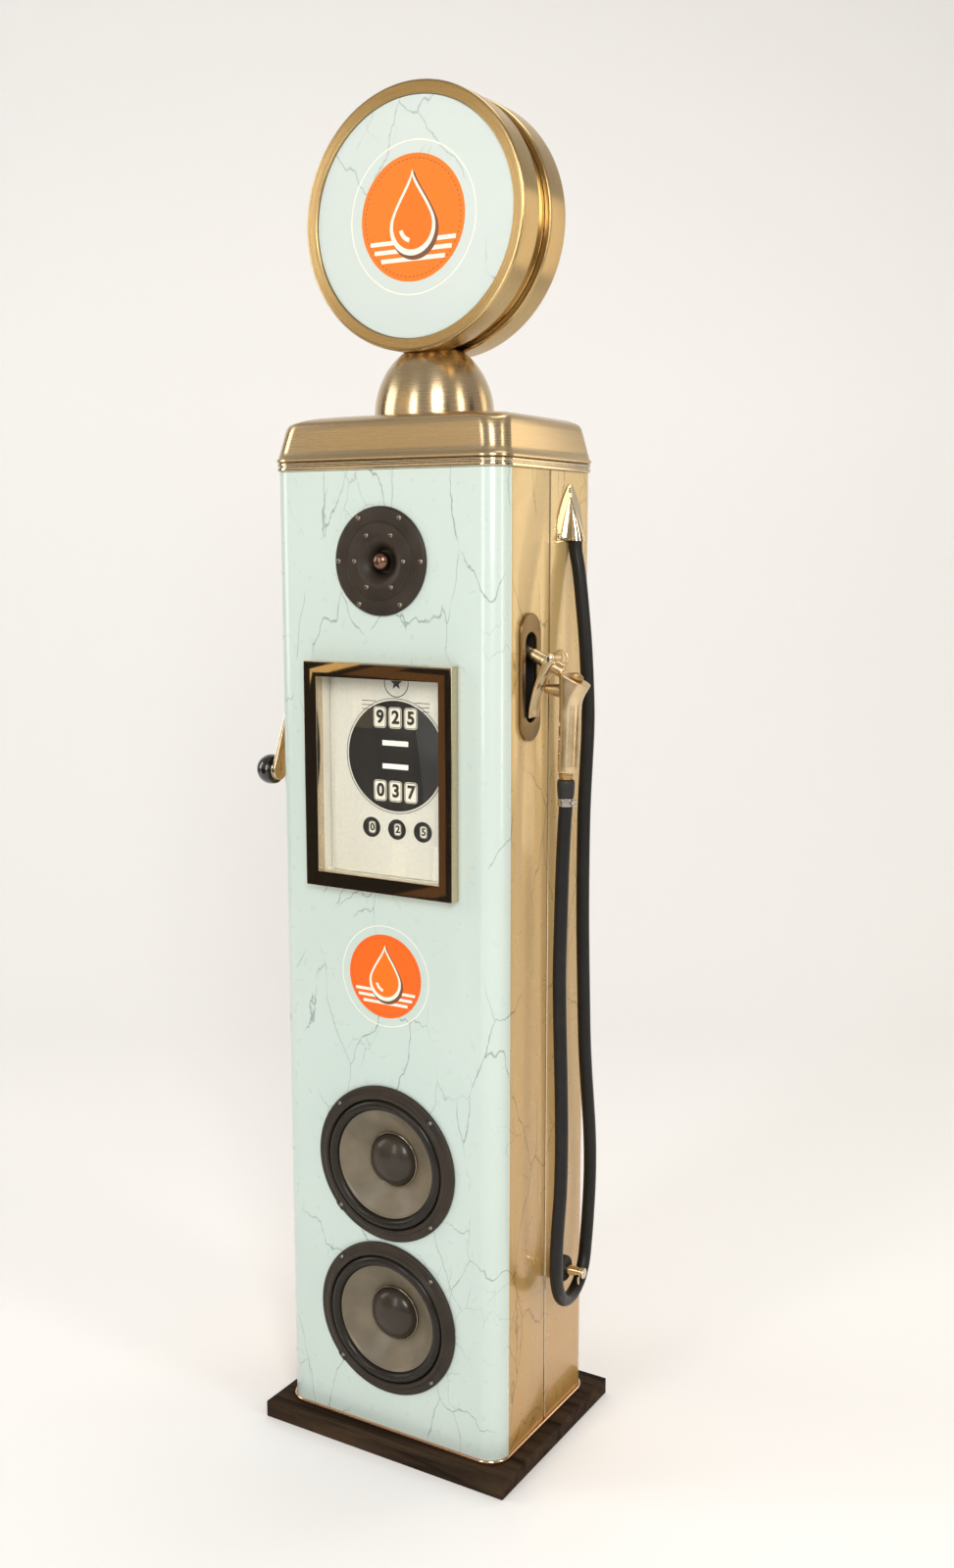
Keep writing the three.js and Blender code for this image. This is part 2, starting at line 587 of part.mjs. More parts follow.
function addOutlet() {
  const { y, z, height, halfWidth } = OUTLET;
  const shield = new THREE.Shape();
  shield.moveTo(-halfWidth, 0);
  shield.lineTo(halfWidth, 0);
  shield.quadraticCurveTo(halfWidth + 2, height * 0.55, 6, height);
  shield.quadraticCurveTo(0, height + 3.5, -6, height);
  shield.quadraticCurveTo(-halfWidth - 2, height * 0.55, -halfWidth, 0);
  const group = new THREE.Group();
  group.position.set(HALF_W + GAP, y, z);
  pump.add(group);
  const plate = slab(shield, 1.5, 8).rotateX(Math.PI / 2).rotateZ(Math.PI / 2);
  const outer = loft([scoopSection(1, 0, 0), scoopSection(0.72, 0, 26), scoopSection(0.12, 0, 50)]);
  const inner = loft([scoopSection(1, 1.2, -1), scoopSection(0.72, 1.2, 25), scoopSection(0.2, 1.2, 40)]);
  const backing = block(20, 60, 80, -10, 0, 30);
  addPart(group, 'outlet_cover', cut(join(plate, outer), inner, backing), 'polished');
  const spots = { top: [0, height - 5.5], front: [-halfWidth + 5.5, 5], rear: [halfWidth - 5.5, 5] };
  for (const [name, [across, up]] of Object.entries(spots)) {
    const head = turned([[0, 0], [3.4, 0], [2.9, 1.5], [0, 2.3]], 12).rotateY(Math.PI / 2);
    addPart(group, `outlet_screw_${name}`, head, 'polished').position.set(1.5 + GAP, across, up);
  }
}

function addHose() {
  const route = new THREE.CatmullRomCurve3(HOSE_ROUTE.map((point) => new THREE.Vector3(...point)));
  const section = new THREE.Shape();
  for (let i = 0; i < HOSE.sides; i += 1) {
    const angle = i * 2 * Math.PI / HOSE.sides;
    const [x, y] = [Math.cos(angle), Math.sin(angle)].map((value) => value * HOSE.diameter / 2);
    if (i === 0) section.moveTo(x, y);
    else section.lineTo(x, y);
  }
  section.closePath();
  const tube = new THREE.ExtrudeGeometry(section, { steps: HOSE.steps, extrudePath: route });
  addPart(pump, 'hose', closed(tube), 'rubber');
}

function addPeg() {
  const side = facing('right', HALF_W, PEG.y, PEG.z);
  const reach = PEG.end - HALF_W;
  const bushEnd = PEG.bushEnd - HALF_W;
  const peg = join(
    turned([
      [0, -8], [3, -8], [3, GAP + 1], [PEG.radius, GAP + 1], [PEG.radius, reach - 4],
      [PEG.radius + 0.5, reach - 3.5], [PEG.radius + 0.5, reach - 0.8], [PEG.radius - 0.4, reach], [0, reach],
    ], 16),
    disc(1.5, -17, -4, 10).rotateX(-Math.PI / 2).translate(0, 0, reach - 9),
  );
  addPart(side, 'hose_peg', peg, 'polished');
  const bush = turnedRing([
    [PEG.radius + GAP, GAP], [PEG.bush, GAP], [PEG.bush, bushEnd - 3], [PEG.bush - 3, bushEnd],
    [PEG.radius + GAP, bushEnd],
  ], 20);
  addPart(side, 'peg_bush', bush, 'rubber');
}

// A rod between two points of the nozzle's middle plane, given as [x, z].
function planeRod(from, to, startRadius, endRadius, segments = 20) {
  const [dx, dz] = [to[0] - from[0], to[1] - from[1]];
  const length = Math.hypot(dx, dz);
  return new THREE.CylinderGeometry(endRadius, startRadius, length, segments)
    .translate(0, length / 2, 0)
    .rotateX(Math.PI / 2)
    .rotateY(Math.atan2(dx, dz))
    .translate(from[0], 0, from[1]);
}

function spoutHeight(x) {
  return 1033.6 - NOZZLE.spoutSlope * (x - 162.3);
}

function addNozzleBody(group) {
  const grip = [
    [893, 216.2, 11.4, 10.4, 7], [901, 216.8, 12.4, 11.4, 7.5], [958, 218.8, 12.8, 12, 7.5],
    [974, 219.2, 13, 12, 7.5], [986, 221.4, 15.2, 12.4, 7], [1000, 225.6, 19.4, 12.8, 6.5],
    [1015, 228, 21.8, 13, 6.5],
  ];
  const casting = loft(grip.map(([z, x, halfX, halfY, corner]) => roundedRing(x, 0, halfX, halfY, corner, z, 3)));
  const slope = Math.atan(0.47);
  const slant = block(90, 50, 40, 0, 0, 20).rotateY(slope).translate(228, 0, 1003);
  const ring = new THREE.TorusGeometry(8.3, 1.6, 8, 24).rotateX(Math.PI / 2).translate(206.5, 0, 1027.8);
  const body = join(
    cut(casting, slant),
    planeRod([189, spoutHeight(189)], [212, spoutHeight(212)], 8.2, 8.2),
    planeRod([186, 991], [212, 989], 5.6, 9),
    disc(5.8, -9.2, 9.2, 20).rotateX(Math.PI / 2).translate(NOZZLE.pivotX, 0, NOZZLE.pivotZ),
    ring,
  );
  const pinBore = disc(3.3, -20, 20, 16).rotateX(Math.PI / 2).translate(NOZZLE.pivotX, 0, NOZZLE.pivotZ);
  const bore = planeRod([180, 991.5], [204, 989.6], 3.9, 3.9, 16);
  addPart(group, 'nozzle_body', cut(body, bore, pinBore), 'brushed');
  const cap = turned([[0, 0], [8.8, 0], [8.8, 3.6], [7.4, 4.6], [5, 5.6], [0, 6.4]], 6)
    .rotateY(slope)
    .translate(226, 1, 1004.4);
  addPart(group, 'valve_cap', cap, 'brass');
}

function addSpout(group) {
  const [tipX, rootX] = [133, 186.5];
  const shaft = join(
    planeRod([tipX, spoutHeight(tipX)], [rootX - 14, spoutHeight(rootX - 14)], 5.6, 6.4),
    planeRod([rootX - 15, spoutHeight(rootX - 15)], [rootX, spoutHeight(rootX)], 7.2, 7.8),
  );
  const bore = planeRod([tipX - 2, spoutHeight(tipX - 2)], [tipX + 26, spoutHeight(tipX + 26)], 4.2, 4.2, 14);
  addPart(group, 'nozzle_spout', cut(shaft, bore), 'brushed');
}

function addTrigger(group) {
  const cheek = new THREE.Shape();
  cheek.moveTo(191.4, 1030);
  cheek.absarc(NOZZLE.pivotX, NOZZLE.pivotZ, 6.2, 0.85 * Math.PI, -0.25 * Math.PI, true);
  cheek.lineTo(192.5, 1012);
  cheek.lineTo(184, 999.5);
  cheek.lineTo(178.6, 989);
  cheek.lineTo(173.2, 970);
  cheek.lineTo(171.6, 956);
  cheek.lineTo(169.2, 956);
  cheek.lineTo(169.2, 966);
  cheek.lineTo(172.6, 981.5);
  cheek.lineTo(177.4, 997);
  cheek.lineTo(184, 1014.6);
  cheek.closePath();
  const web = new THREE.Shape();
  web.moveTo(169.2, 956);
  web.lineTo(169.2, 966);
  web.lineTo(172.6, 981.5);
  web.lineTo(177.4, 997);
  web.lineTo(181.5, 1008);
  web.lineTo(183.6, 1007.2);
  web.lineTo(179.6, 996.2);
  web.lineTo(174.8, 981);
  web.lineTo(171.6, 965.6);
  web.lineTo(171.6, 956);
  web.closePath();
  const upright = (shape, from, depth) => slab(shape, depth, 6).rotateX(Math.PI / 2).translate(0, from, 0);
  const lever = cut(
    join(upright(web, 11, 22), upright(cheek, 11.6, 2), upright(cheek, -9.6, 2)),
    disc(3.1, -20, 20, 16).rotateX(Math.PI / 2).translate(NOZZLE.pivotX, 0, NOZZLE.pivotZ),
  );
  addPart(group, 'trigger_lever', lever, 'brushed');
}

function addNozzle() {
  const group = new THREE.Group();
  group.position.y = BOOT.y;
  pump.add(group);
  addNozzleBody(group);
  addSpout(group);
  addTrigger(group);
  const pin = turned([
    [0, -13], [4.4, -13], [4.4, -11.9], [3, -11.9], [3, 11.9], [5, 11.9], [4.4, 13.2], [0, 13.8],
  ], 16).rotateX(Math.PI / 2);
  addPart(group, 'pivot_pin', pin, 'polished').position.set(NOZZLE.pivotX, 0, NOZZLE.pivotZ);
  addPart(group, 'valve_stem', planeRod([180.6, 991.4], [197, 990.1], 3.5, 3.5, 16), 'steel');

  const hoseEnd = new THREE.Group();
  hoseEnd.position.set(HOSE_ROUTE.at(-1)[0], 0, 0);
  group.add(hoseEnd);
  addPart(hoseEnd, 'hose_nipple', turned([
    [0, 885.3], [8.2, 885.3], [8.2, 889], [9, 890], [9, 892.7], [0, 892.7],
  ], 20), 'brass');
  addPart(hoseEnd, 'hose_ferrule', turned([
    [0, 863.2], [9.5, 863.2], [10.3, 872], [10.6, 881], [9.8, 885], [0, 885],
  ], 24), 'rubber');
  const inner = HOSE.diameter / 2 + 0.6;
  const band = turnedRing([[inner, 853.6], [inner + 1.4, 853.6], [inner + 1.4, 862.8], [inner, 862.8]], 24);
  const screw = block(5, 7, 5.5, inner + 3, 0, 858.2);
  addPart(hoseEnd, 'hose_clamp', join(band, screw), 'steel');
}

// ---- crank --------------------------------------------------------------------------------
function addCrank() {
  const side = facing('left', -HALF_W, CRANK.y, CRANK.z);
  const arm = { inner: -HALF_W - CRANK.armInner, outer: -HALF_W - CRANK.armOuter };
  const bush = turnedRing([
    [6.4, -14], [9.2, -14], [9.2, GAP], [16, GAP], [16, 2.4], [14.5, 3.6], [6.4, 3.6],
  ], 20);
  addPart(side, 'crank_bush', bush, 'polished');
  const [armX, armY] = [CRANK.y - CRANK.knobY, CRANK.knobZ - CRANK.z];
  const length = Math.hypot(armX, armY);
  const blade = new THREE.Shape();
  blade.absarc(0, 0, 12, 0, Math.PI, false);
  blade.absarc(0, -length, 13.2, Math.PI, 2 * Math.PI, false);
  blade.closePath();
  const swing = Math.atan2(armX, -armY);
  const crank = join(
    slab(blade, arm.outer - arm.inner, 8).rotateZ(swing).translate(0, 0, arm.inner),
    turned([[0, -22], [6.3, -22], [6.3, 3.9], [11, 3.9], [11, arm.inner + 1], [0, arm.inner + 1]], 20),
    disc(4, arm.inner + 1, arm.outer + 16, 16).translate(armX, armY, 0),
  );
  addPart(side, 'crank_arm', crank, 'brushed');

  const handle = new THREE.Group();
  handle.position.set(armX, armY, 0);
  side.add(handle);
  const ferruleEnd = arm.outer + 3;
  addPart(handle, 'knob_ferrule', turnedRing([
    [4.05, arm.outer + GAP], [12.6, arm.outer + GAP], [13.2, arm.outer + 1], [11.6, ferruleEnd],
    [4.05, ferruleEnd],
  ], 20), 'polished');
  const centre = -HALF_W - CRANK.knobX;
  const r = CRANK.knob;
  const start = ferruleEnd + GAP - centre;
  const dome = [];
  for (let i = 0; i <= 6; i += 1) {
    const height = start + (r - start) * (1 - Math.cos(i / 6 * Math.PI)) / 2;
    dome.push([Math.sqrt(Math.max(r * r - height * height, 0)), centre + height]);
  }
  const bore = arm.outer + 17;
  addPart(handle, 'crank_knob', turned([
    [0, bore], [4.05, bore], [4.05, centre + start], ...dome.slice(0, -1), [0, centre + r],
  ], 24), 'black');
}

addBase();
addCabinet();
addInside();
addLid();
addNeck();
addGlobe();
addDisplay();
addTweeter();
for (const [name, z] of Object.entries(WOOFER.heights)) addWoofer(name, z);
addAmplifier();
addBoot();
addOutlet();
addHose();
addPeg();
addNozzle();
addCrank();

export default pump;
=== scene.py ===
"""Looks of a retro fuel pump loudspeaker cabinet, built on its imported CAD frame.

Shapes are given in millimetres and stand in the CAD's own frame:
+Z up, -Y out of the front, origin at the centre of the base board's underside.
"""
import math

import bmesh
import bpy
from mathutils import Matrix, Vector


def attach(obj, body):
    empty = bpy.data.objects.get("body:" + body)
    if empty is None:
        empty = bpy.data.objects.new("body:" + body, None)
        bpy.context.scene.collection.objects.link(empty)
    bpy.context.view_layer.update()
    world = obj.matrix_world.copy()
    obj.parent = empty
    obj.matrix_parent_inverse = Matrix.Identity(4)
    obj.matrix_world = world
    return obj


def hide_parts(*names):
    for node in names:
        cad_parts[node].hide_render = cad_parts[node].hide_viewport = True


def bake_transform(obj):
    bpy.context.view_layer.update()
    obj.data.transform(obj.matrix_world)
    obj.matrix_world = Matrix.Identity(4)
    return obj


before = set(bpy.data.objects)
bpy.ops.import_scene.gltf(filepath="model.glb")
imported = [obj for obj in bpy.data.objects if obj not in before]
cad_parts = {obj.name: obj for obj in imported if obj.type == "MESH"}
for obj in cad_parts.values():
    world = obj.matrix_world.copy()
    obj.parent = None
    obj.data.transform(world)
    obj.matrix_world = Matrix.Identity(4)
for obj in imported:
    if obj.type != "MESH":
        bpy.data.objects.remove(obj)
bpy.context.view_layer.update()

MM = 0.001
BODY = {"half_w": 162.5, "half_d": 119.5, "corner": 27.0, "bottom": 22.6, "top": 1245.8, "sheet": 1.6}
HALF_W, HALF_D = BODY["half_w"], BODY["half_d"]
# Heights and places of the middles of what the cabinet carries, as in the CAD model.
GLOBE_Z, TWEETER_Z, DISPLAY_Z, ROUNDEL_Z = 1541.3, 1138.8, 878.35, 630.7
UPPER_WOOFER_Z, LOWER_WOOFER_Z, AMPLIFIER_Z = 387.7, 180.3, 270.0
BOOT_Y, BOOT_Z = -52.2, 1003.2
PIVOT_X, PIVOT_Z = 197.0, 1027.5
PEG_Y, PEG_Z = 29.0, 229.0
CRANK_Y, CRANK_Z = -49.0, 950.0
HOSE_DIAMETER = 16.5
CAMERA_TURN = math.radians(30.9)

# The hose's route, the same points as in the CAD model.
HOSE_ROUTE = [
    (171.7, 49, 1166), (171.9, 49, 1152), (176.6, 48.5, 1128), (182.6, 48, 1082), (187.3, 48, 1035),
    (191, 48.8, 962), (191, 49, 930), (189.3, 49, 889), (187.4, 48.5, 838), (186.9, 48, 775),
    (187.1, 48.4, 690), (187.5, 50, 638), (187.4, 53, 586), (187, 57, 533), (187, 62, 490),
    (187.4, 67.5, 448), (187.8, 72.6, 407), (187.6, 75.8, 368), (186.8, 76.8, 330), (185.8, 75, 290),
    (185.7, 70.5, 256), (187, 61.5, 228), (189, 45.5, 210.5), (190.9, 24, 201.5), (193.3, 2, 203),
    (196.3, -18, 213.5), (199.8, -34.5, 233), (203.2, -46, 260), (206.6, -52, 292), (210, -54.8, 330),
    (212.8, -55, 370), (213.4, -54, 430), (211.8, -53, 500), (208.9, -52.2, 580), (207.4, -52, 645),
    (208.6, -52, 710), (210.4, -52.2, 780), (212.6, -52.2, 830), (214, -52.2, 850), (214.1, -52.2, 862.6),
]


def add_object(name, data):
    made = bpy.data.objects.new(name, data)
    bpy.context.scene.collection.objects.link(made)
    return made


# ---- camera, light and floor --------------------------------------------------------------------
def add_camera():
    data = bpy.data.cameras.new("camera")
    data.sensor_width = 36.0
    data.lens = 35.53
    data.clip_end = 60.0
    camera = add_object("camera", data)
    camera.location = (1.0494, -1.6518, 1.1585)
    turn, tilt = CAMERA_TURN, math.radians(8.8)
    forward = Vector((
        -math.sin(turn) * math.cos(tilt), math.cos(turn) * math.cos(tilt), -math.sin(tilt),
    ))
    camera.rotation_euler = forward.to_track_quat("-Z", "Y").to_euler()
    bpy.context.scene.camera = camera


def add_area_light(name, location, target, size, power, colour=(1.0, 1.0, 1.0)):
    data = bpy.data.lights.new(name, "AREA")
    data.shape = "RECTANGLE"
    data.size, data.size_y = size
    data.energy = power
    data.color = colour
    lamp = add_object(name, data)
    lamp.location = location
    aim = Vector(target) - Vector(location)
    lamp.rotation_euler = aim.to_track_quat("-Z", "Y").to_euler()


def add_stage():
    """A pale floor that sweeps up behind the pump, and the cards its metal reflects."""
    points = [(-6.0, 0.0), (1.6, 0.0)]
    points += [(1.6 + 1.6 * math.sin(a), 1.6 - 1.6 * math.cos(a))
               for a in [math.radians(90 * i / 24) for i in range(1, 25)]]
    points += [(3.2, 7.0)]
    mesh = bpy.data.meshes.new("floor")
    verts = [(x, y, z) for y, z in points for x in (-9.0, 9.0)]
    faces = [(2 * i, 2 * i + 1, 2 * i + 3, 2 * i + 2) for i in range(len(points) - 1)]
    mesh.from_pydata(verts, [], faces)
    mesh.shade_smooth()
    floor = add_object("floor", mesh)
    floor.rotation_euler = (0, 0, CAMERA_TURN)
    floor.data.materials.append(plain("studio_floor", (252, 252, 252), 0.9))

    cards = [
        ("card_front_left", (-1.08, -1.66, 0.5), (0.5, 0.86, 0.0), (1.0, 1.15), (20, 13, 8)),
        ("card_brown_patch", (-0.86, -1.63, 0.6), (0.5, 0.86, 0.0), (0.2, 0.9), (104, 74, 42)),
        ("card_gold_patch", (-1.12, -1.5, 0.98), (0.5, 0.86, 0.0), (0.16, 0.22), (250, 214, 150)),
        ("card_tan_high", (-1.7, -2.9, 2.35), (0.5, 0.8, -0.2), (1.6, 1.4), (244, 226, 196)),
        ("card_front_right", (2.7, -1.8, 1.5), (-0.83, 0.55, 0.0), (0.45, 2.4), (40, 27, 18)),
        ("card_far_right", (3.2, 1.0, 1.2), (-1.0, -0.3, 0.0), (0.7, 2.6), (52, 34, 20)),
        ("card_left", (-3.1, -0.4, 1.3), (1.0, 0.1, 0.0), (0.8, 2.6), (60, 42, 28)),
    ]
    for name, place, facing_to, size, colour in cards:
        card = bpy.data.meshes.new(name)
        w, h = size[0] / 2, size[1] / 2
        card.from_pydata([(-w, 0, -h), (w, 0, -h), (w, 0, h), (-w, 0, h)], [], [(0, 1, 2, 3)])
        board = add_object(name, card)
        board.location = place
        board.rotation_euler = Vector(facing_to).to_track_quat("-Y", "Z").to_euler()
        board.data.materials.append(plain(name, colour, 0.8))
        board.visible_camera = False
        board.visible_shadow = False


def add_world():
    world = bpy.data.worlds.new("studio")
    bpy.context.scene.world = world
    world.use_nodes = True
    sky = world.node_tree.nodes["Background"]
    sky.inputs["Color"].default_value = (*linear(255, 250, 244), 1.0)
    sky.inputs["Strength"].default_value = 0.42


def add_lights():
    bpy.context.scene.view_settings.view_transform = "Standard"
    add_area_light("key", (2.3, -3.0, 2.7), (0, 0, 0.8), (1.1, 1.6), 80, (1.0, 0.985, 0.96))
    add_area_light("strip", (-0.55, -3.45, 1.9), (0, 0, 0.9), (0.7, 2.2), 27)
    add_area_light("fill", (-3.3, -1.6, 2.0), (0, 0, 0.9), (1.5, 2.2), 34, (1.0, 0.98, 0.95))
    add_area_light("side", (3.2, -0.3, 1.7), (0.1, 0, 0.8), (0.5, 2.6), 24, (1.0, 0.93, 0.82))
    add_area_light("warm", (1.9, 2.7, 1.5), (0, 0, 1.1), (0.8, 2.2), 9, (1.0, 0.84, 0.6))
    add_area_light("top", (0.3, 0.8, 3.6), (0, 0, 1.2), (1.2, 1.2), 16, (1.0, 0.97, 0.92))


# ---- materials ----------------------------------------------------------------------------------
def linear(red, green, blue):
    def one(value):
        value /= 255
        return value / 12.92 if value <= 0.04045 else ((value + 0.055) / 1.055) ** 2.4
    return tuple(one(value) for value in (red, green, blue))


class Look:
    """A material with a Principled shader and short calls for the nodes that feed it."""

    def __init__(self, name, colour, roughness, metallic=0.0, coat=0.0, coat_roughness=0.06, ior=1.5):
        self.material = bpy.data.materials.new(name)
        self.material.use_nodes = True
        self.tree = self.material.node_tree
        self.shader = self.tree.nodes["Principled BSDF"]
        self.set("Base Color", (*linear(*colour), 1.0))
        self.set("Roughness", roughness)
        self.set("Metallic", metallic)
        self.set("Coat Weight", coat)
        self.set("Coat Roughness", coat_roughness)
        self.set("IOR", ior)
        self.height = None

    def set(self, socket, value):
        self.shader.inputs[socket].default_value = value

    def link(self, source, target):
        self.tree.links.new(source, target)

    def add(self, kind, inputs, output=0, **settings):
        """The output of a new node, whose inputs are plain values or other nodes' outputs."""
        made = self.tree.nodes.new(kind)
        for key, value in settings.items():
            setattr(made, key, value)
        for socket, value in inputs.items():
            if isinstance(value, bpy.types.NodeSocket):
                self.link(value, made.inputs[socket])
            else:
                made.inputs[socket].default_value = value
        return made.outputs[output]

    def place(self, scale=(1, 1, 1), location=(0, 0, 0)):
        """Object coordinates, scaled and then shifted."""
        here = self.add("ShaderNodeTexCoord", {}, "Object")
        return self.add("ShaderNodeMapping", {"Vector": here, "Scale": scale, "Location": location})

    def split(self, vector):
        made = self.tree.nodes.new("ShaderNodeSeparateXYZ")
        self.link(vector, made.inputs[0])
        return made.outputs

    def noise(self, vector, scale=5.0, detail=3.0, roughness=0.5, distortion=0.0, output="Fac"):
        return self.add("ShaderNodeTexNoise", {"Vector": vector, "Scale": scale, "Detail": detail,
                                               "Roughness": roughness, "Distortion": distortion}, output)

    def edges(self, vector, scale):
        return self.add("ShaderNodeTexVoronoi", {"Vector": vector, "Scale": scale}, "Distance",
                        feature="DISTANCE_TO_EDGE")

    def bend(self, vector, amount, scale):
        """The vector pushed about by noise, so that what it carries wanders."""
        drift = self.noise(vector, scale, 4.0, output="Color")
        centred = self.add("ShaderNodeVectorMath", {0: drift, 1: (0.5, 0.5, 0.5)}, operation="SUBTRACT")
        scaled = self.add("ShaderNodeVectorMath", {0: centred, "Scale": amount}, operation="SCALE")
        return self.add("ShaderNodeVectorMath", {0: vector, 1: scaled}, operation="ADD")

    def span(self, value, low, high, to_low=0.0, to_high=1.0):
        return self.add("ShaderNodeMapRange", {"Value": value, "From Min": low, "From Max": high,
                                               "To Min": to_low, "To Max": to_high}, "Result")

    def math(self, operation, first, second):
        return self.add("ShaderNodeMath", {0: first, 1: second}, operation=operation)

    def mix(self, factor, first, second):
        """One colour fading into another; its colours are the mix node's inputs 6 and 7 and output 2."""
        first, second = ((*linear(*c), 1.0) if isinstance(c, tuple) else c for c in (first, second))
        return self.add("ShaderNodeMix", {"Factor": factor, 6: first, 7: second}, 2, data_type="RGBA")

    def paint(self, value):
        self.link(value, self.shader.inputs["Base Color"])

    def rough(self, value):
        self.link(value, self.shader.inputs["Roughness"])

    def bump(self, value, strength, distance):
        """Adds a bump on top of the ones before it."""
        inputs = {"Strength": strength, "Distance": distance, "Height": value}
        if self.height is not None:
            inputs["Normal"] = self.height
        self.height = self.add("ShaderNodeBump", inputs, "Normal")
        self.link(self.height, self.shader.inputs["Normal"])


def plain(name, colour, roughness):
    look = Look(name, colour, roughness)
    value = look.noise(look.place(), 2.0)
    look.rough(look.span(value, 0.3, 0.7, roughness, min(roughness + 0.03, 1.0)))
    return look.material


def crackle(look, stretch, scale, width, gap):
    """Thin wandering lines that break off: 1 on a line and 0 elsewhere."""
    vector = look.bend(look.place(stretch), 0.09, 4.0)
    vector = look.bend(vector, 0.035, 22.0)
    line = look.span(look.edges(vector, scale), 0.0, width, 1.0, 0.0)
    shown = look.span(look.noise(look.place(location=(3.1, 1.7, 0.4)), 7.0, 2.0), gap, gap + 0.05)
    return look.math("MULTIPLY", line, shown)


def mint_enamel():
    look = Look("mint_enamel", (198, 213, 207), 0.28, coat=0.35, coat_roughness=0.06)
    large = crackle(look, (1.0, 1.0, 0.42), 13.0, 0.008, 0.47)
    small = crackle(look, (1.0, 1.0, 0.6), 30.0, 0.019, 0.6)
    lines = look.math("MAXIMUM", large, look.math("MULTIPLY", small, 0.55))
    cloud = look.span(look.noise(look.place(), 3.0, 4.0), 0.35, 0.65)
    base = look.mix(cloud, (194, 210, 203), (201, 215, 208))
    look.paint(look.mix(look.math("MULTIPLY", lines, 0.7), base, (94, 114, 106)))
    look.rough(look.span(look.noise(look.place(), 60.0, 3.0), 0.3, 0.7, 0.27, 0.3))
    look.bump(look.noise(look.place(), 420.0, 2.0), 0.03, 0.0001)
    return look.material


# Enamel for the sides and back, with the front's crackle. Its tan colour is a painted warm reflection.
def gold_enamel():
    look = Look("gold_enamel", (212, 182, 128), 0.3, metallic=0.25, coat=0.5, coat_roughness=0.08)
    large = crackle(look, (1.0, 1.0, 0.42), 13.0, 0.011, 0.46)
    small = crackle(look, (1.0, 1.0, 0.6), 30.0, 0.022, 0.58)
    lines = look.math("MAXIMUM", large, look.math("MULTIPLY", small, 0.6))
    # The painted reflection's tan is made darker and more orange towards the bottom.
    level = look.span(look.split(look.place())[2], 0.05, 1.25)
    base = look.mix(level, (190, 146, 78), (208, 180, 122))
    cloud = look.span(look.noise(look.place((1, 1, 0.4)), 4.0, 4.0), 0.3, 0.7)
    base = look.mix(look.math("MULTIPLY", cloud, 0.12), base, (178, 144, 92))
    look.paint(look.mix(look.math("MULTIPLY", lines, 0.75), base, (96, 78, 52)))
    look.rough(look.span(look.noise(look.place(), 50.0, 3.0), 0.3, 0.7, 0.26, 0.34))
    look.bump(look.noise(look.place(), 420.0, 2.0), 0.02, 0.0001)
    return look.material


def round_tangent(look, axis):
    """Draws reflections out across a brush that runs round and round one axis."""
    tangent = look.add("ShaderNodeTangent", {}, direction_type="RADIAL", axis="XYZ"[axis])
    look.link(tangent, look.shader.inputs["Tangent"])
    look.set("Anisotropic", 0.7)
    look.set("Anisotropic Rotation", 0.25)


def brushed(name, colour, stretch, roughness=0.3, shade=0.86, strength=0.05, around=None):
    """Metal brushed along the axis with the smallest stretch."""
    look = Look(name, colour, roughness, metallic=1.0)
    fine = look.noise(look.place(stretch), 1.0, 3.0, 0.55)
    dark = tuple(channel * shade for channel in colour)
    look.paint(look.mix(look.span(fine, 0.3, 0.7), dark, colour))
    look.rough(look.span(fine, 0.3, 0.7, roughness - 0.05, roughness + 0.06))
    look.bump(fine, strength, 0.0002)
    if around is not None:
        round_tangent(look, around)
    return look.material


def turned_metal(name, colour, centre, axis, roughness=0.3, strength=0.04):
    """Metal brushed round and round an axis through centre, given in metres."""
    look = Look(name, colour, roughness, metallic=1.0)
    vector = look.place(location=tuple(-value for value in centre))
    split = look.split(vector)
    across = [split[i] for i in range(3) if i != axis]
    radius = look.math("SQRT", look.math("ADD", look.math("MULTIPLY", across[0], across[0]),
                                         look.math("MULTIPLY", across[1], across[1])), 0.0)
    angle = look.math("ARCTAN2", across[0], across[1])
    rounds = look.add("ShaderNodeCombineXYZ", {0: look.math("MULTIPLY", radius, 3600.0),
                                               1: look.math("MULTIPLY", split[axis], 3600.0),
                                               2: look.math("MULTIPLY", angle, 3.0)})
    fine = look.noise(rounds, 1.0, 3.0, 0.55)
    dark = tuple(channel * 0.9 for channel in colour)
    look.paint(look.mix(look.span(fine, 0.3, 0.7), dark, colour))
    look.rough(look.span(fine, 0.3, 0.7, roughness - 0.05, roughness + 0.06))
    look.bump(fine, strength, 0.0002)
    round_tangent(look, axis)
    return look.material


def cast_metal():
    """Satin cast metal with a fine sandy skin."""
    look = Look("cast_nozzle", (214, 190, 150), 0.3, metallic=1.0)
    sand = look.noise(look.place(), 900.0, 3.0)
    wear = look.noise(look.place(), 45.0, 4.0)
    look.paint(look.mix(look.span(wear, 0.3, 0.7), (196, 170, 128), (222, 200, 162)))
    look.rough(look.span(wear, 0.3, 0.7, 0.26, 0.38))
    look.bump(sand, 0.12, 0.0002)
    return look.material


def polished(name, colour, roughness=0.07, smudge=0.06):
    look = Look(name, colour, roughness, metallic=1.0)
    haze = look.noise(look.place(), 26.0, 4.0)
    look.rough(look.span(haze, 0.35, 0.7, roughness, roughness + smudge))
    fine = look.noise(look.place(), 300.0, 2.0)
    look.paint(look.mix(look.span(fine, 0.3, 0.7), colour, tuple(c * 0.93 for c in colour)))
    look.bump(fine, 0.02, 0.0001)
    return look.material


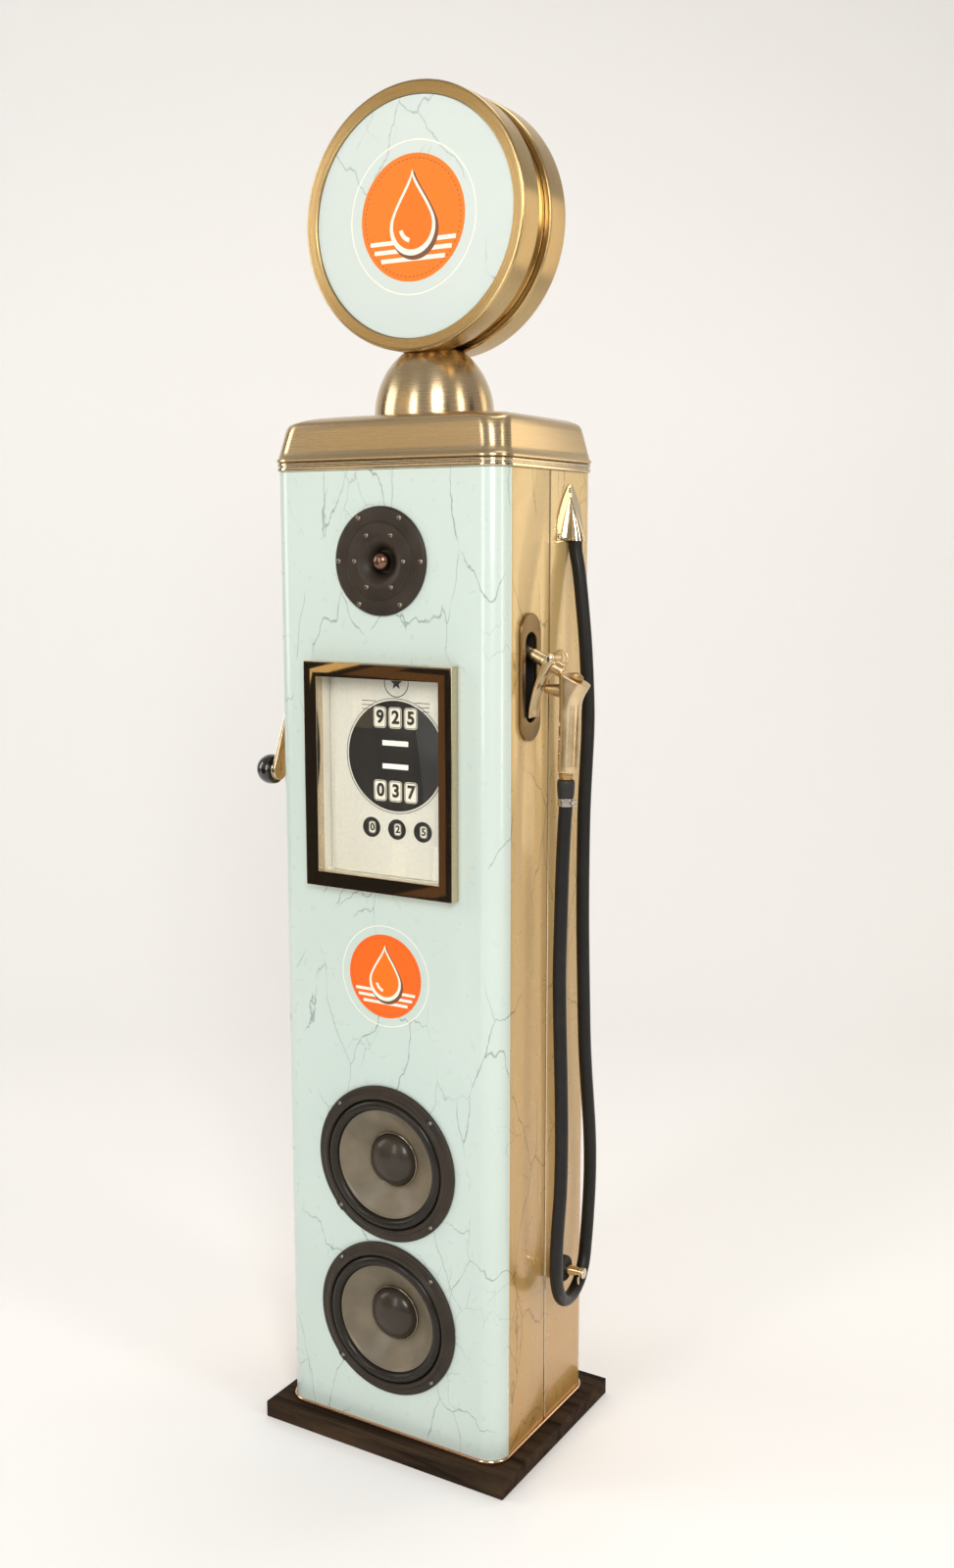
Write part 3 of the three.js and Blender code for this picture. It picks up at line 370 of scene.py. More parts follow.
def dark_wood():
    look = Look("dark_wood", (52, 40, 32), 0.55)
    look.set("Specular IOR Level", 0.04)
    vector = look.bend(look.place((2.2, 30.0, 30.0)), 0.5, 1.2)
    rings = look.noise(vector, 1.6, 6.0, 0.6, 0.4)
    pores = look.noise(look.place((40.0, 700.0, 700.0)), 1.0, 2.0)
    base = look.mix(look.span(rings, 0.35, 0.65), (24, 18, 14), (70, 55, 41))
    look.paint(look.mix(look.span(pores, 0.55, 0.75, 0.0, 0.6), base, (24, 18, 15)))
    look.rough(look.span(rings, 0.3, 0.7, 0.6, 0.76))
    look.bump(rings, 0.12, 0.0006)
    look.bump(pores, 0.1, 0.0003)
    return look.material


def moulded(name, colour, roughness, grain=900.0, strength=0.12, coat=0.0, specular=0.5):
    look = Look(name, colour, roughness, coat=coat)
    look.set("Specular IOR Level", specular)
    speck = look.noise(look.place(), grain, 2.0)
    cloud = look.noise(look.place(), 30.0, 3.0)
    look.paint(look.mix(look.span(cloud, 0.3, 0.7), colour, tuple(min(c * 1.22 + 3, 255) for c in colour)))
    look.rough(look.span(cloud, 0.3, 0.7, roughness - 0.05, roughness + 0.07))
    look.bump(speck, strength, 0.0002)
    return look.material


def hose_rubber():
    look = Look("hose_rubber", (17, 14, 11), 0.42)
    look.set("Specular IOR Level", 0.32)
    dust = look.noise(look.place(), 38.0, 5.0)
    scuff = look.noise(look.place((160.0, 160.0, 9.0)), 1.0, 3.0)
    look.paint(look.mix(look.span(dust, 0.5, 0.75, 0.0, 0.4), (14, 12, 10), (34, 29, 24)))
    look.rough(look.span(scuff, 0.3, 0.7, 0.32, 0.5))
    look.bump(scuff, 0.06, 0.0003)
    look.bump(look.noise(look.place(), 1300.0, 2.0), 0.08, 0.0002)
    return look.material


def cone_paper():
    look = Look("speaker_cone", (110, 98, 78), 0.42, coat=0.2, coat_roughness=0.3)
    cloud = look.noise(look.place(), 24.0, 5.0)
    speck = look.noise(look.place(), 700.0, 3.0)
    look.paint(look.mix(look.span(cloud, 0.3, 0.7), (96, 86, 68), (122, 110, 88)))
    look.rough(look.span(speck, 0.3, 0.7, 0.36, 0.52))
    look.bump(speck, 0.12, 0.0003)
    return look.material


def opal_panel():
    look = Look("opal_panel", (208, 219, 215), 0.24, coat=0.25)
    large = crackle(look, (1.0, 1.0, 0.7), 9.0, 0.008, 0.48)
    small = crackle(look, (1.0, 1.0, 0.8), 22.0, 0.011, 0.58)
    lines = look.math("MAXIMUM", large, look.math("MULTIPLY", small, 0.5))
    look.paint(look.mix(look.math("MULTIPLY", lines, 0.6), (207, 218, 214), (120, 142, 136)))
    look.rough(look.span(look.noise(look.place(), 50.0, 3.0), 0.3, 0.7, 0.14, 0.24))
    look.set("Subsurface Weight", 0.12)
    look.set("Subsurface Scale", 0.004)
    return look.material


def clear_glass():
    look = Look("clear_glass", (250, 252, 251), 0.02, ior=1.45)
    look.set("Transmission Weight", 1.0)
    look.rough(look.span(look.noise(look.place(), 12.0, 3.0), 0.4, 0.7, 0.0, 0.02))
    return look.material


def printed(name, colour, roughness=0.45):
    look = Look(name, colour, roughness)
    fibre = look.noise(look.place(), 260.0, 4.0)
    look.paint(look.mix(look.span(fibre, 0.3, 0.7), colour, tuple(c * 0.95 for c in colour)))
    look.rough(look.span(fibre, 0.3, 0.7, roughness - 0.05, roughness + 0.08))
    return look.material


def make_materials():
    globe = (0, 0, GLOBE_Z * MM)
    champagne = (212, 188, 148)
    return {
        "mint": mint_enamel(),
        "gold": gold_enamel(),
        "wood": dark_wood(),
        "board": moulded("bare_board", (150, 128, 98), 0.75, 500.0, 0.2),
        "brushed_lid": brushed("brushed_lid", champagne, (4.0, 4.0, 3000.0), 0.25, 0.92, around=2),
        "brushed_neck": turned_metal("brushed_neck", champagne, (0, 0, 1.35), 2, 0.24, 0.015),
        "brushed_plate": brushed("brushed_plate", (146, 120, 82), (900.0, 1400.0, 14.0), 0.33),
        "brushed_ring": turned_metal("brushed_ring", (200, 172, 122), globe, 1, 0.26),
        "cast": cast_metal(),
        "polished": polished("polished_nickel", (222, 206, 176)),
        "drum": polished("polished_drum", (214, 184, 132), 0.09),
        "mirror": polished("mirror_frame", (214, 196, 168), 0.04, 0.03),
        "copper": polished("copper_bead", (228, 188, 156), 0.12),
        "black": moulded("black_satin", (42, 35, 27), 0.42, specular=0.25),
        "screw": polished("black_screw", (150, 140, 126), 0.22, 0.08),
        "steel": polished("plated_steel", (190, 184, 174), 0.2, 0.1),
        "gloss_black": moulded("gloss_black", (10, 10, 10), 0.12, 200.0, 0.02, coat=0.8),
        "rubber": moulded("black_rubber", (20, 17, 14), 0.5, 1100.0, 0.1),
        "surround": moulded("surround_rubber", (27, 22, 16), 0.36, 700.0, 0.06, coat=0.1, specular=0.25),
        "hose": hose_rubber(),
        "cone": cone_paper(),
        "cap": moulded("dust_cap", (44, 37, 28), 0.34, 600.0, 0.05, coat=0.2, specular=0.3),
        "plug": polished("copper_plug", (132, 100, 84), 0.2, 0.1),
        "brass": polished("satin_brass", (186, 150, 98), 0.22, 0.1),
        "powder": moulded("powder_coat", (30, 29, 28), 0.55, 1500.0, 0.25),
        "opal": opal_panel(),
        "glass": clear_glass(),
        "cream": printed("cream_card", (208, 203, 189)),
        "ink": printed("black_ink", (26, 23, 21), 0.4),
        "tangerine": printed("tangerine_ink", (255, 124, 18), 0.36),
        "orange": printed("orange_ink", (255, 104, 8), 0.36),
        "amber": printed("amber_ink", (255, 118, 16), 0.32),
        "shadow": printed("brown_ink", (122, 78, 52), 0.35),
        "pale_ink": printed("pale_ink", (244, 240, 226), 0.35),
        "drum_white": printed("digit_white", (228, 220, 200), 0.4),
        "lamp": plain("milky_bulb", (244, 240, 230), 0.3),
    }


# ---- mesh making --------------------------------------------------------------------------------
def facing(side, x, y, z):
    """A placement whose own +Z points out of one side of the cabinet, with its own +Y upwards."""
    across = {"front": (1, 0, 0), "right": (0, 1, 0), "left": (0, -1, 0), "back": (-1, 0, 0)}[side]
    out = {"front": (0, -1, 0), "right": (1, 0, 0), "left": (-1, 0, 0), "back": (0, 1, 0)}[side]
    matrix = Matrix((across, (0, 0, 1), out)).transposed().to_4x4()
    matrix.translation = (x, y, z)
    return matrix


def in_metres(place):
    made = place.copy()
    made.translation = place.translation * MM
    return made


def finish_piece(piece, material, body="cabinet", smooth=32.0, also=()):
    """Gives the piece its material, shading and slot, and hangs it on its body; None leaves it free.

    A piece called NAME_look stands for the CAD node NAME, and for the nodes in also.
    """
    mesh = piece.data
    mesh.materials.clear()
    mesh.materials.append(LOOKS[material])
    mesh.shade_smooth()
    mesh.set_sharp_from_angle(angle=math.radians(smooth))
    if body:
        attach(piece, body)
    if piece.name.endswith("_look"):
        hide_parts(piece.name.removesuffix("_look"), *also)
    return piece


def raw_object(name, verts, faces, place=None):
    """A mesh object from millimetres in a placement, with its faces turned outwards."""
    place = place or Matrix.Identity(4)
    mesh = bpy.data.meshes.new(name)
    mesh.from_pydata([(place @ Vector(v)) * MM for v in verts], [], faces)
    work = bmesh.new()
    work.from_mesh(mesh)
    bmesh.ops.remove_doubles(work, verts=work.verts, dist=1e-7)
    bmesh.ops.recalc_face_normals(work, faces=work.faces)
    work.to_mesh(mesh)
    work.free()
    return add_object(name, mesh)


def settle(piece):
    """Applies the piece's modifiers."""
    bpy.context.view_layer.update()
    graph = bpy.context.evaluated_depsgraph_get()
    mesh = bpy.data.meshes.new_from_object(piece.evaluated_get(graph))
    piece.modifiers.clear()
    piece.data = mesh
    return piece


def bevel(piece, width, segments=3, angle=30.0):
    modifier = piece.modifiers.new("bevel", "BEVEL")
    modifier.width = width * MM
    modifier.segments = segments
    modifier.limit_method = "ANGLE"
    modifier.angle_limit = math.radians(angle)
    modifier.harden_normals = False
    return settle(piece)


def carve(piece, *tools, operation="DIFFERENCE"):
    for tool in tools:
        modifier = piece.modifiers.new("carve", "BOOLEAN")
        modifier.operation = operation
        modifier.solver = "EXACT"
        modifier.object = tool
        settle(piece)
        bpy.data.objects.remove(tool)
    return piece


def joined(name, pieces):
    """One piece from several, as separate shells."""
    first, *rest = pieces
    work = bmesh.new()
    work.from_mesh(first.data)
    for other in rest:
        work.from_mesh(other.data)
        bpy.data.objects.remove(other)
    work.to_mesh(first.data)
    work.free()
    first.name = first.data.name = name
    return first


def rounded(points, radius, closed=False, steps=4):
    """The same line of points with each corner turned into a small arc."""
    made = []
    count = len(points)
    for i, point in enumerate(points):
        if not closed and i in (0, count - 1):
            made.append(tuple(point))
            continue
        here = Vector(point)
        before = Vector(points[i - 1]) - here
        after = Vector(points[(i + 1) % count]) - here
        if before.length < 1e-6 or after.length < 1e-6:
            made.append(tuple(point))
            continue
        reach = min(radius, 0.42 * before.length, 0.42 * after.length)
        start = here + before.normalized() * reach
        end = here + after.normalized() * reach
        for k in range(steps + 1):
            t = k / steps
            made.append(tuple(start * (1 - t) ** 2 + here * (2 * t * (1 - t)) + end * t * t))
    return made


def lathe(name, profile, segments, place=None, closed=False):
    """A profile of (radius, height) turned about the placement's own +Z."""
    verts, faces, rows = [], [], []
    for radius, height in profile:
        if radius < 1e-5:
            rows.append([len(verts)] * segments)
            verts.append((0, 0, height))
            continue
        rows.append(list(range(len(verts), len(verts) + segments)))
        verts += [(radius * math.cos(2 * math.pi * i / segments),
                   radius * math.sin(2 * math.pi * i / segments), height) for i in range(segments)]
    pairs = list(zip(rows, rows[1:])) + ([(rows[-1], rows[0])] if closed else [])
    for low, high in pairs:
        for i in range(segments):
            j = (i + 1) % segments
            corners = list(dict.fromkeys((low[i], low[j], high[j], high[i])))
            if len(corners) > 2:
                faces.append(corners)
    return raw_object(name, verts, faces, place)


def turned(name, profile, material, body, place=None, segments=96, closed=False, radius=0.6,
           smooth=32.0, done=True):
    line = rounded(profile, radius, closed) if radius else profile
    piece = lathe(name, line, segments, place, closed)
    return finish_piece(piece, material, body, smooth) if done else piece


def band(name, profile, material, radius):
    """A profile of (offset, z) swept round the cabinet's outline."""
    rings = [rounded_ring(HALF_W + o, HALF_D + o, max(BODY["corner"] + o, 0.5), z)
             for o, z in rounded(profile, radius, True)]
    piece = raw_object(name, [v for ring in rings for v in ring], ring_faces(rings, True))
    return finish_piece(piece, material)


def ring_faces(rings, closed=False):
    """Faces between each ring of points and the next."""
    count = len(rings[0])
    faces = []
    for r in range(len(rings) if closed else len(rings) - 1):
        a, b = r * count, (r + 1) % len(rings) * count
        faces += [(a + i, a + (i + 1) % count, b + (i + 1) % count, b + i) for i in range(count)]
    return faces


def rounded_ring(half_w, half_d, corner, z, steps=16):
    ring = []
    for quarter, (sx, sy) in enumerate(((1, -1), (1, 1), (-1, 1), (-1, -1))):
        for i in range(steps + 1):
            angle = math.radians((quarter - 1 + i / steps) * 90)
            ring.append((sx * (half_w - corner) + corner * math.cos(angle),
                         sy * (half_d - corner) + corner * math.sin(angle), z))
    return ring


def stack(name, rings, place=None):
    """A solid through rings of the same number of points, with flat ends."""
    count, total = len(rings[0]), len(rings[0]) * len(rings)
    faces = ring_faces(rings) + [tuple(range(count)), tuple(range(total - count, total))]
    return raw_object(name, [v for ring in rings for v in ring], faces, place)


def arc(x, y, radius, start, end, steps=12):
    return [(x + radius * math.cos(math.radians(start + (end - start) * i / steps)),
             y + radius * math.sin(math.radians(start + (end - start) * i / steps)))
            for i in range(steps + 1)]


def circle(radius, x=0.0, y=0.0, steps=64):
    return arc(x, y, radius, 0, 360, steps)[:-1]


def rectangle(half_w, half_h, x=0.0, y=0.0, corner=0.0, steps=6):
    if not corner:
        return [(x - half_w, y - half_h), (x + half_w, y - half_h), (x + half_w, y + half_h),
                (x - half_w, y + half_h)]
    w, h = half_w - corner, half_h - corner
    return (arc(x + w, y - h, corner, -90, 0, steps) + arc(x + w, y + h, corner, 0, 90, steps)
            + arc(x - w, y + h, corner, 90, 180, steps) + arc(x - w, y - h, corner, 180, 270, steps))


def stadium(half_w, half_h, x=0.0, y=0.0, steps=24):
    rise = half_h - half_w
    return arc(x, y + rise, half_w, 0, 180, steps) + arc(x, y - rise, half_w, 180, 360, steps)


def plate(name, outlines, low, high, edge=0.3, place=None, segments=2):
    """Outlines, the first one solid and the rest holes, with thickness and softened edges."""
    data = bpy.data.curves.new(name, "CURVE")
    data.dimensions = "2D"
    data.fill_mode = "BOTH"
    half = (high - low) / 2
    edge = min(edge, half * 0.9)
    data.extrude = (half - edge) * MM
    data.bevel_depth = edge * MM
    data.bevel_resolution = segments
    data.offset = -edge * MM
    for outline in outlines:
        spline = data.splines.new("POLY")
        spline.points.add(len(outline) - 1)
        for point, (x, y) in zip(spline.points, outline):
            point.co = (x * MM, y * MM, 0, 1)
        spline.use_cyclic_u = True
    curve = add_object(name + "_curve", data)
    bpy.context.view_layer.update()
    mesh = bpy.data.meshes.new_from_object(curve.evaluated_get(bpy.context.evaluated_depsgraph_get()))
    bpy.data.objects.remove(curve)
    place = place or Matrix.Identity(4)
    shift = Matrix.Translation(Vector((0, 0, (low + high) / 2 * MM)))
    mesh.transform(in_metres(place) @ shift)
    work = bmesh.new()
    work.from_mesh(mesh)
    bmesh.ops.remove_doubles(work, verts=work.verts, dist=2e-7)
    bmesh.ops.recalc_face_normals(work, faces=work.faces)
    work.to_mesh(mesh)
    work.free()
    mesh.name = name
    return add_object(name, mesh)


def block(name, size, centre, place=None, edge=0.0, segments=3):
    x, y, z = (value / 2 for value in size)
    verts = [(centre[0] + i * x, centre[1] + j * y, centre[2] + k * z)
             for i in (-1, 1) for j in (-1, 1) for k in (-1, 1)]
    faces = [(0, 1, 3, 2), (4, 6, 7, 5), (0, 4, 5, 1), (2, 3, 7, 6), (0, 2, 6, 4), (1, 5, 7, 3)]
    piece = raw_object(name, verts, faces, place)
    return bevel(piece, edge, segments) if edge else piece


def rod_between(name, start, end, radii, segments=48, edge=0.6):
    """A round rod between two points; radii is one radius, or several as (share of length, radius)."""
    if isinstance(radii, float):
        radii = [(0.0, radii), (1.0, radii)]
    axis = Vector(end) - Vector(start)
    length = axis.length
    place = axis.to_track_quat("Z", "Y").to_matrix().to_4x4()
    place.translation = Vector(start)
    profile = [(0.0, radii[0][0] * length)] + [(r, share * length) for share, r in radii]
    profile += [(0.0, radii[-1][0] * length)]
    return lathe(name, rounded(profile, edge), segments, place)


def tube(name, points, radius, sides=24):
    """A round tube along points, with level frames carried along it and closed ends."""
    line = [Vector(p) for p in points]
    rings = []
    angles = [2 * math.pi * k / sides for k in range(sides)]
    up = Vector((0, 1, 0))
    for i, here in enumerate(line):
        ahead = (line[min(i + 1, len(line) - 1)] - line[max(i - 1, 0)]).normalized()
        side = ahead.cross(up).normalized()
        up = side.cross(ahead).normalized()
        rings.append([here + radius * (math.cos(a) * side + math.sin(a) * up) for a in angles])
    return stack(name, rings)


def smooth_route(points, per_span=8):
    """A centripetal Catmull-Rom line through the points."""
    line = [Vector(p) for p in points]
    ends = [2 * line[0] - line[1], *line, 2 * line[-1] - line[-2]]
    made = []
    for i in range(1, len(ends) - 2):
        a, b, c, d = ends[i - 1:i + 3]
        knots = [0.0]
        for first, second in ((a, b), (b, c), (c, d)):
            knots.append(knots[-1] + max((second - first).length ** 0.5, 1e-4))
        for k in range(per_span):
            t = knots[1] + (knots[2] - knots[1]) * k / per_span
            low = [((knots[j + 1] - t) * p + (t - knots[j]) * q) / (knots[j + 1] - knots[j])
                   for j, (p, q) in enumerate(((a, b), (b, c), (c, d)))]
            mid = [((knots[j + 2] - t) * low[j] + (t - knots[j]) * low[j + 1]) / (knots[j + 2] - knots[j])
                   for j in range(2)]
            made.append(((knots[2] - t) * mid[0] + (t - knots[1]) * mid[1]) / (knots[2] - knots[1]))
    made.append(line[-1])
    return made


def digits(name, text, size, place, depth=0.25):
    """A numeral as a thin raised mesh, centred on its placement."""
    data = bpy.data.curves.new(name, "FONT")
    data.body = text
    data.size = size * MM
    data.align_x = "CENTER"
    data.align_y = "CENTER"
    data.extrude = depth / 2 * MM
    data.offset = 0.035 * size * MM
    curve = add_object(name + "_text", data)
    bpy.context.view_layer.update()
    mesh = bpy.data.meshes.new_from_object(curve.evaluated_get(bpy.context.evaluated_depsgraph_get()))
    bpy.data.objects.remove(curve)
    mesh.transform(in_metres(place))
    mesh.name = name
    return add_object(name, mesh)


def screw_head(name, place, radius=3.0, height=1.8):
    """A domed screw head with a cross recess."""
    profile = [(0, 0), (radius, 0), (radius, height * 0.35), (radius * 0.72, height * 0.86), (0, height)]
    head = lathe(name, rounded(profile, 0.5), 48)
    slots = [block(name + "_slot", size, (0, 0, height)) for size in
             ((radius * 1.25, radius * 0.26, height), (radius * 0.26, radius * 1.25, height))]
    carve(head, *slots)
    head.data.transform(in_metres(place))
    return head


def moved(place, x, y, z, turn=0.0):
    return place @ Matrix.Translation((x, y, z)) @ Matrix.Rotation(turn, 4, "Z")


def around(place, radius, count, start, out, turn=0.0):
    """Placements evenly round a circle, each turned along its own radius."""
    angles = [math.radians(start + 360 * i / count) for i in range(count)]
    return [moved(place, radius * math.cos(a), radius * math.sin(a), out, a + turn) for a in angles]


def laid(x, y, z):
    """A placement whose own +Z points along -Y, with its own +Y upwards."""
    return Matrix.Translation((x, y, z)) @ Matrix.Rotation(math.radians(90), 4, "X")


# ---- stand and cabinet ----------------------------------------------------------------------------
def add_base():
    board = block("base_board_look", (365.7, 286.2, 22), (0, 0, 11), edge=1.6, segments=4)
    finish_piece(board, "wood")
    bead = [(0.3, 22.3), (2.4, 22.3), (3.0, 23.4), (3.0, 26.6), (2.0, 28.0), (0.3, 28.1)]
    band("foot_bead_look", bead, "copper", 1.0)


def shell_outline(edge, sign):
    """Half of the cabinet's skin seen from above, ending at y = edge on both sides."""
    w, d, c, t = BODY["half_w"], BODY["half_d"], BODY["corner"], BODY["sheet"]
    outer = [(w, edge)] + arc(w - c, d - c, c, 0, 90, 20) + arc(-(w - c), d - c, c, 90, 180,
                                                                20) + [(-w, edge)]
    inner = [(-w + t, edge)] + arc(-(w - c), d - c, c - t, 180, 90, 20) + arc(w - c, d - c, c - t, 90, 0,
                                                                              20)
    inner += [(w - t, edge)]
    return [(x * sign, y * sign) for x, y in outer + inner]


def hole_tool(outline, side, x, y, z, depth=24):
    return plate("tool", [outline], -depth / 2, depth / 2, 0.001, facing(side, x, y, z), 0)


def add_cabinet():
    low, high = BODY["bottom"], BODY["top"]
    face = BODY["half_d"]
    front = plate("front_shell_look", [shell_outline(92.2, -1)], low, high, 0.25)
    carve(front,
          hole_tool(rectangle(94, 127), "front", 0, -face, DISPLAY_Z),
          hole_tool(circle(52.5), "front", 0, -face, TWEETER_Z),
          hole_tool(circle(88.5), "front", 0, -face, UPPER_WOOFER_Z),
          hole_tool(circle(88.5), "front", 0, -face, LOWER_WOOFER_Z))
    finish_piece(front, "mint", "cabinet", 28)

    rear = plate("rear_shell_look", [shell_outline(1.6, 1)], low, high, 0.25)
    carve(rear, hole_tool(rectangle(90, 70), "back", 0, face, 270))
    finish_piece(rear, "gold", "cabinet", 28)

    middle, half = (low + high) / 2, (high - low) / 2
    right = plate("side_panel_right_look",
                  [rectangle(44.9, half, -46.8, middle), stadium(15.9, 55.8, BOOT_Y, BOOT_Z)],
                  -1.6, 0, 0.25, facing("right", HALF_W, 0, 0))
    finish_piece(right, "gold", smooth=28, also=["side_panel_right_lower"])
    left = plate("side_panel_left_look", [rectangle(44.9, half, 46.8, middle), circle(9.5, 49, 950)],
                 -1.6, 0, 0.25, facing("left", -HALF_W, 0, 0))
    finish_piece(left, "gold", "cabinet", 28)

    for side, sign in (("right", 1), ("left", -1)):
        low_strip = 28.7
        profile = [(-0.5, 0), (1.2, 0), (1.2, 3.6), (0.9, 4.5), (0.35, 4.8), (-0.2, 4.5), (-0.5, 3.6)]
        rings = [[(sign * (158.5 + out), across, z) for across, out in profile] for z in (low_strip, high)]
        strip = stack(f"seam_strip_{side}_look", rings)
        finish_piece(strip, "polished", "cabinet", 40)


def add_top():
    bead = [(-12, 1246.1), (1.4, 1246.1), (2.9, 1247.2), (3.1, 1248.9), (2.7, 1250.6), (1.2, 1251.6),
            (1.2, 1252.1), (2.6, 1252.9), (3.1, 1254.4), (2.6, 1256.0), (1.2, 1256.8), (-12, 1256.8)]
    band("top_bead_look", bead, "polished", 0.5)

    def arch(x, y):
        return 8 * (1 - min(abs(x) / 156, abs(y) / 112) ** 2)

    rows = [(162.5, 119.5, 27, 1257.3, 0), (165.2, 122.2, 29.7, 1257.3, 0), (166.4, 123.4, 30.9, 1258.2, 0),
            (166.4, 123.4, 30.9, 1260.2, 0), (165.6, 122.6, 30.1, 1261.4, 0),
            (164.2, 121.2, 28.7, 1262.3, 0), (162.6, 118.9, 28.2, 1270, 0.08),
            (160.6, 116.4, 28.4, 1281, 0.32), (158.4, 113.9, 28.7, 1293, 0.66),
            (156.9, 112.4, 29, 1299.4, 0.9), (155.2, 110.9, 29, 1302.3, 1.0),
            (152.4, 108.6, 29, 1304.0, 0.94), (147, 104, 30.5, 1306.2, 0.74), (138, 96.5, 33, 1308.5, 0.46),
            (124, 86, 38, 1310.6, 0.2), (108, 78, 44, 1311.9, 0.05), (90, 74, 60, 1312.2, 0)]
    rings = []
    for w, d, c, z, share in rows:
        rings.append([(x, y, z + share * (arch(x, y) - 2.2)) for x, y, _ in
                      rounded_ring(w, d, min(c, d - 1), 0, 24)])
    lid = stack("lid_look", rings)
    finish_piece(lid, "brushed_lid", "cabinet", 50)

    profile = [(74 * math.sqrt(1 - (h / 90) ** 2), 1312.4 + h) for h in
               [80 * math.sin(math.radians(90 * i / 24)) for i in range(25)]]
    dome = turned("neck_look", [(0, 1312.4), *profile, (0, 1392.4)], "brushed_neck", "cabinet",
                  segments=160, radius=0, done=False)
    saddle = [(0, -90), (154.1, -90), (154.1, 90), (0, 90)]
    carve(dome, lathe("saddle", saddle, 256, facing("front", 0, 0, GLOBE_Z)))
    finish_piece(dome, "brushed_neck", "cabinet", 40)


# ---- globe ----------------------------------------------------------------------------------------
def add_globe():
    rim = [(145.9, 12.5), (152.6, 12.9), (153.9, 15.4), (153.9, 49.2), (152.4, 50.9), (149.8, 51.2),
           (143.2, 50.4), (139.3, 50.2), (138.6, 49.4), (138.6, 44), (134.5, 44), (134.5, 41.5),
           (150.9, 41.5), (150.9, 17.9), (145.9, 16.3)]
    for name, side in (("front", "front"), ("rear", "back")):
        place = facing(side, 0, 0, GLOBE_Z)
        turned(f"globe_ring_{name}_look", rim, "brushed_ring", "cabinet", place, 192, True, 0.8)
        turned(f"globe_face_{name}_look", [(0, 44.4), (138.1, 44.4), (138.1, 47.3), (0, 47.3)],
               "opal", "cabinet", place, 160, False, 0.5)
        add_emblem(f"globe_{name}", moved(place, 0, 0, 47.3), 73, "tangerine")
    drum = [(142.6, -40.4), (144.6, -40.4), (145.4, -12.3), (144.3, -9.8), (144.3, 9.8), (145.4, 12.3),
            (144.6, 40.4), (142.6, 40.4)]
    turned("globe_drum_look", drum, "drum", "cabinet", facing("front", 0, 0, GLOBE_Z), 192, True, 0.6)


def drop_outline(height, steps=28):
    """A fuel drop: a round belly drawn up into a point."""
    belly = height * 0.33
    points = arc(0, -height / 2 + belly, belly, -205, 25, steps)
    tip = (0, height / 2)
    right, left = points[-1], points[0]
    rise = [bezier((right, (belly * 0.62, height * 0.18), (belly * 0.1, height * 0.36), tip), i / 10)
            for i in range(1, 11)]
    fall = [bezier((tip, (-belly * 0.1, height * 0.36), (-belly * 0.62, height * 0.18), left), i / 10)
            for i in range(1, 10)]
    return points + rise + fall


def bezier(points, t):
    a, b, c, d = (Vector(p) for p in points)
    return tuple(a * (1 - t) ** 3 + b * 3 * t * (1 - t) ** 2 + c * 3 * t * t * (1 - t) + d * t ** 3)


def add_emblem(name, place, radius, colour="orange"):
    """A round printed roundel: an orange disc, a fuel drop over stripes and two fine rings."""
    proud = 0.25

    def ink(label, outlines, level, material):
        piece = plate(f"{name}_{label}", outlines, 0.02, proud * level, 0.03, place, 0)
        finish_piece(piece, material)

    def ring(outer, inner, steps=128):
        return [circle(outer, steps=steps), circle(inner, steps=steps)]

    ink("disc", [circle(radius, steps=128)], 0.5, colour)
    ink("ring", ring(radius * 1.215, radius * 1.19), 0.4, "pale_ink")
    dashes = []
    for i in range(72):
        a = i * 5.0
        dashes.append([(radius * r * math.cos(math.radians(t)), radius * r * math.sin(math.radians(t)))
                       for r, t in ((0.915, a), (0.93, a), (0.93, a + 2.2), (0.915, a + 2.2))])
    stitched = [plate(f"{name}_dash", [d], 0.02, proud * 0.62, 0.01, place, 0) for d in dashes]
    finish_piece(joined(f"{name}_dashes", stitched), "shadow")
    for k, (y, half) in enumerate(((-0.36, 0.83), (-0.5, 0.75), (-0.64, 0.62))):
        ink(f"stripe_{k}", [rectangle(radius * half, radius * 0.035, 0, radius * y)], 0.66, "pale_ink")
    shift = Matrix.Translation((radius * 0.045, -radius * 0.045, 0))
    drop = drop_outline(radius * 1.34)
    centre = Matrix.Translation((0, radius * 0.08, 0))
    for label, level, material, offset, scale in (
            ("drop_shadow", 0.76, "shadow", shift, 1.04), ("drop_edge", 0.88, "pale_ink", None, 1.0),
            ("drop_fill", 1.0, "amber", None, 0.86)):
        spot = place @ (offset or Matrix.Identity(4)) @ centre
        outline = [(x * scale, y * scale) for x, y in drop]
        piece = plate(f"{name}_{label}", [outline], 0.02, proud * level, 0.03, spot, 0)
        finish_piece(piece, material)
    spot = place @ centre
    low = -radius * 0.2
    shine = arc(0, low, radius * 0.27, 195, 255) + arc(0, low, radius * 0.2, 255, 195)
    piece = plate(f"{name}_drop_shine", [shine], 0.02, proud * 1.1, 0.02, spot, 0)
    finish_piece(piece, "pale_ink")


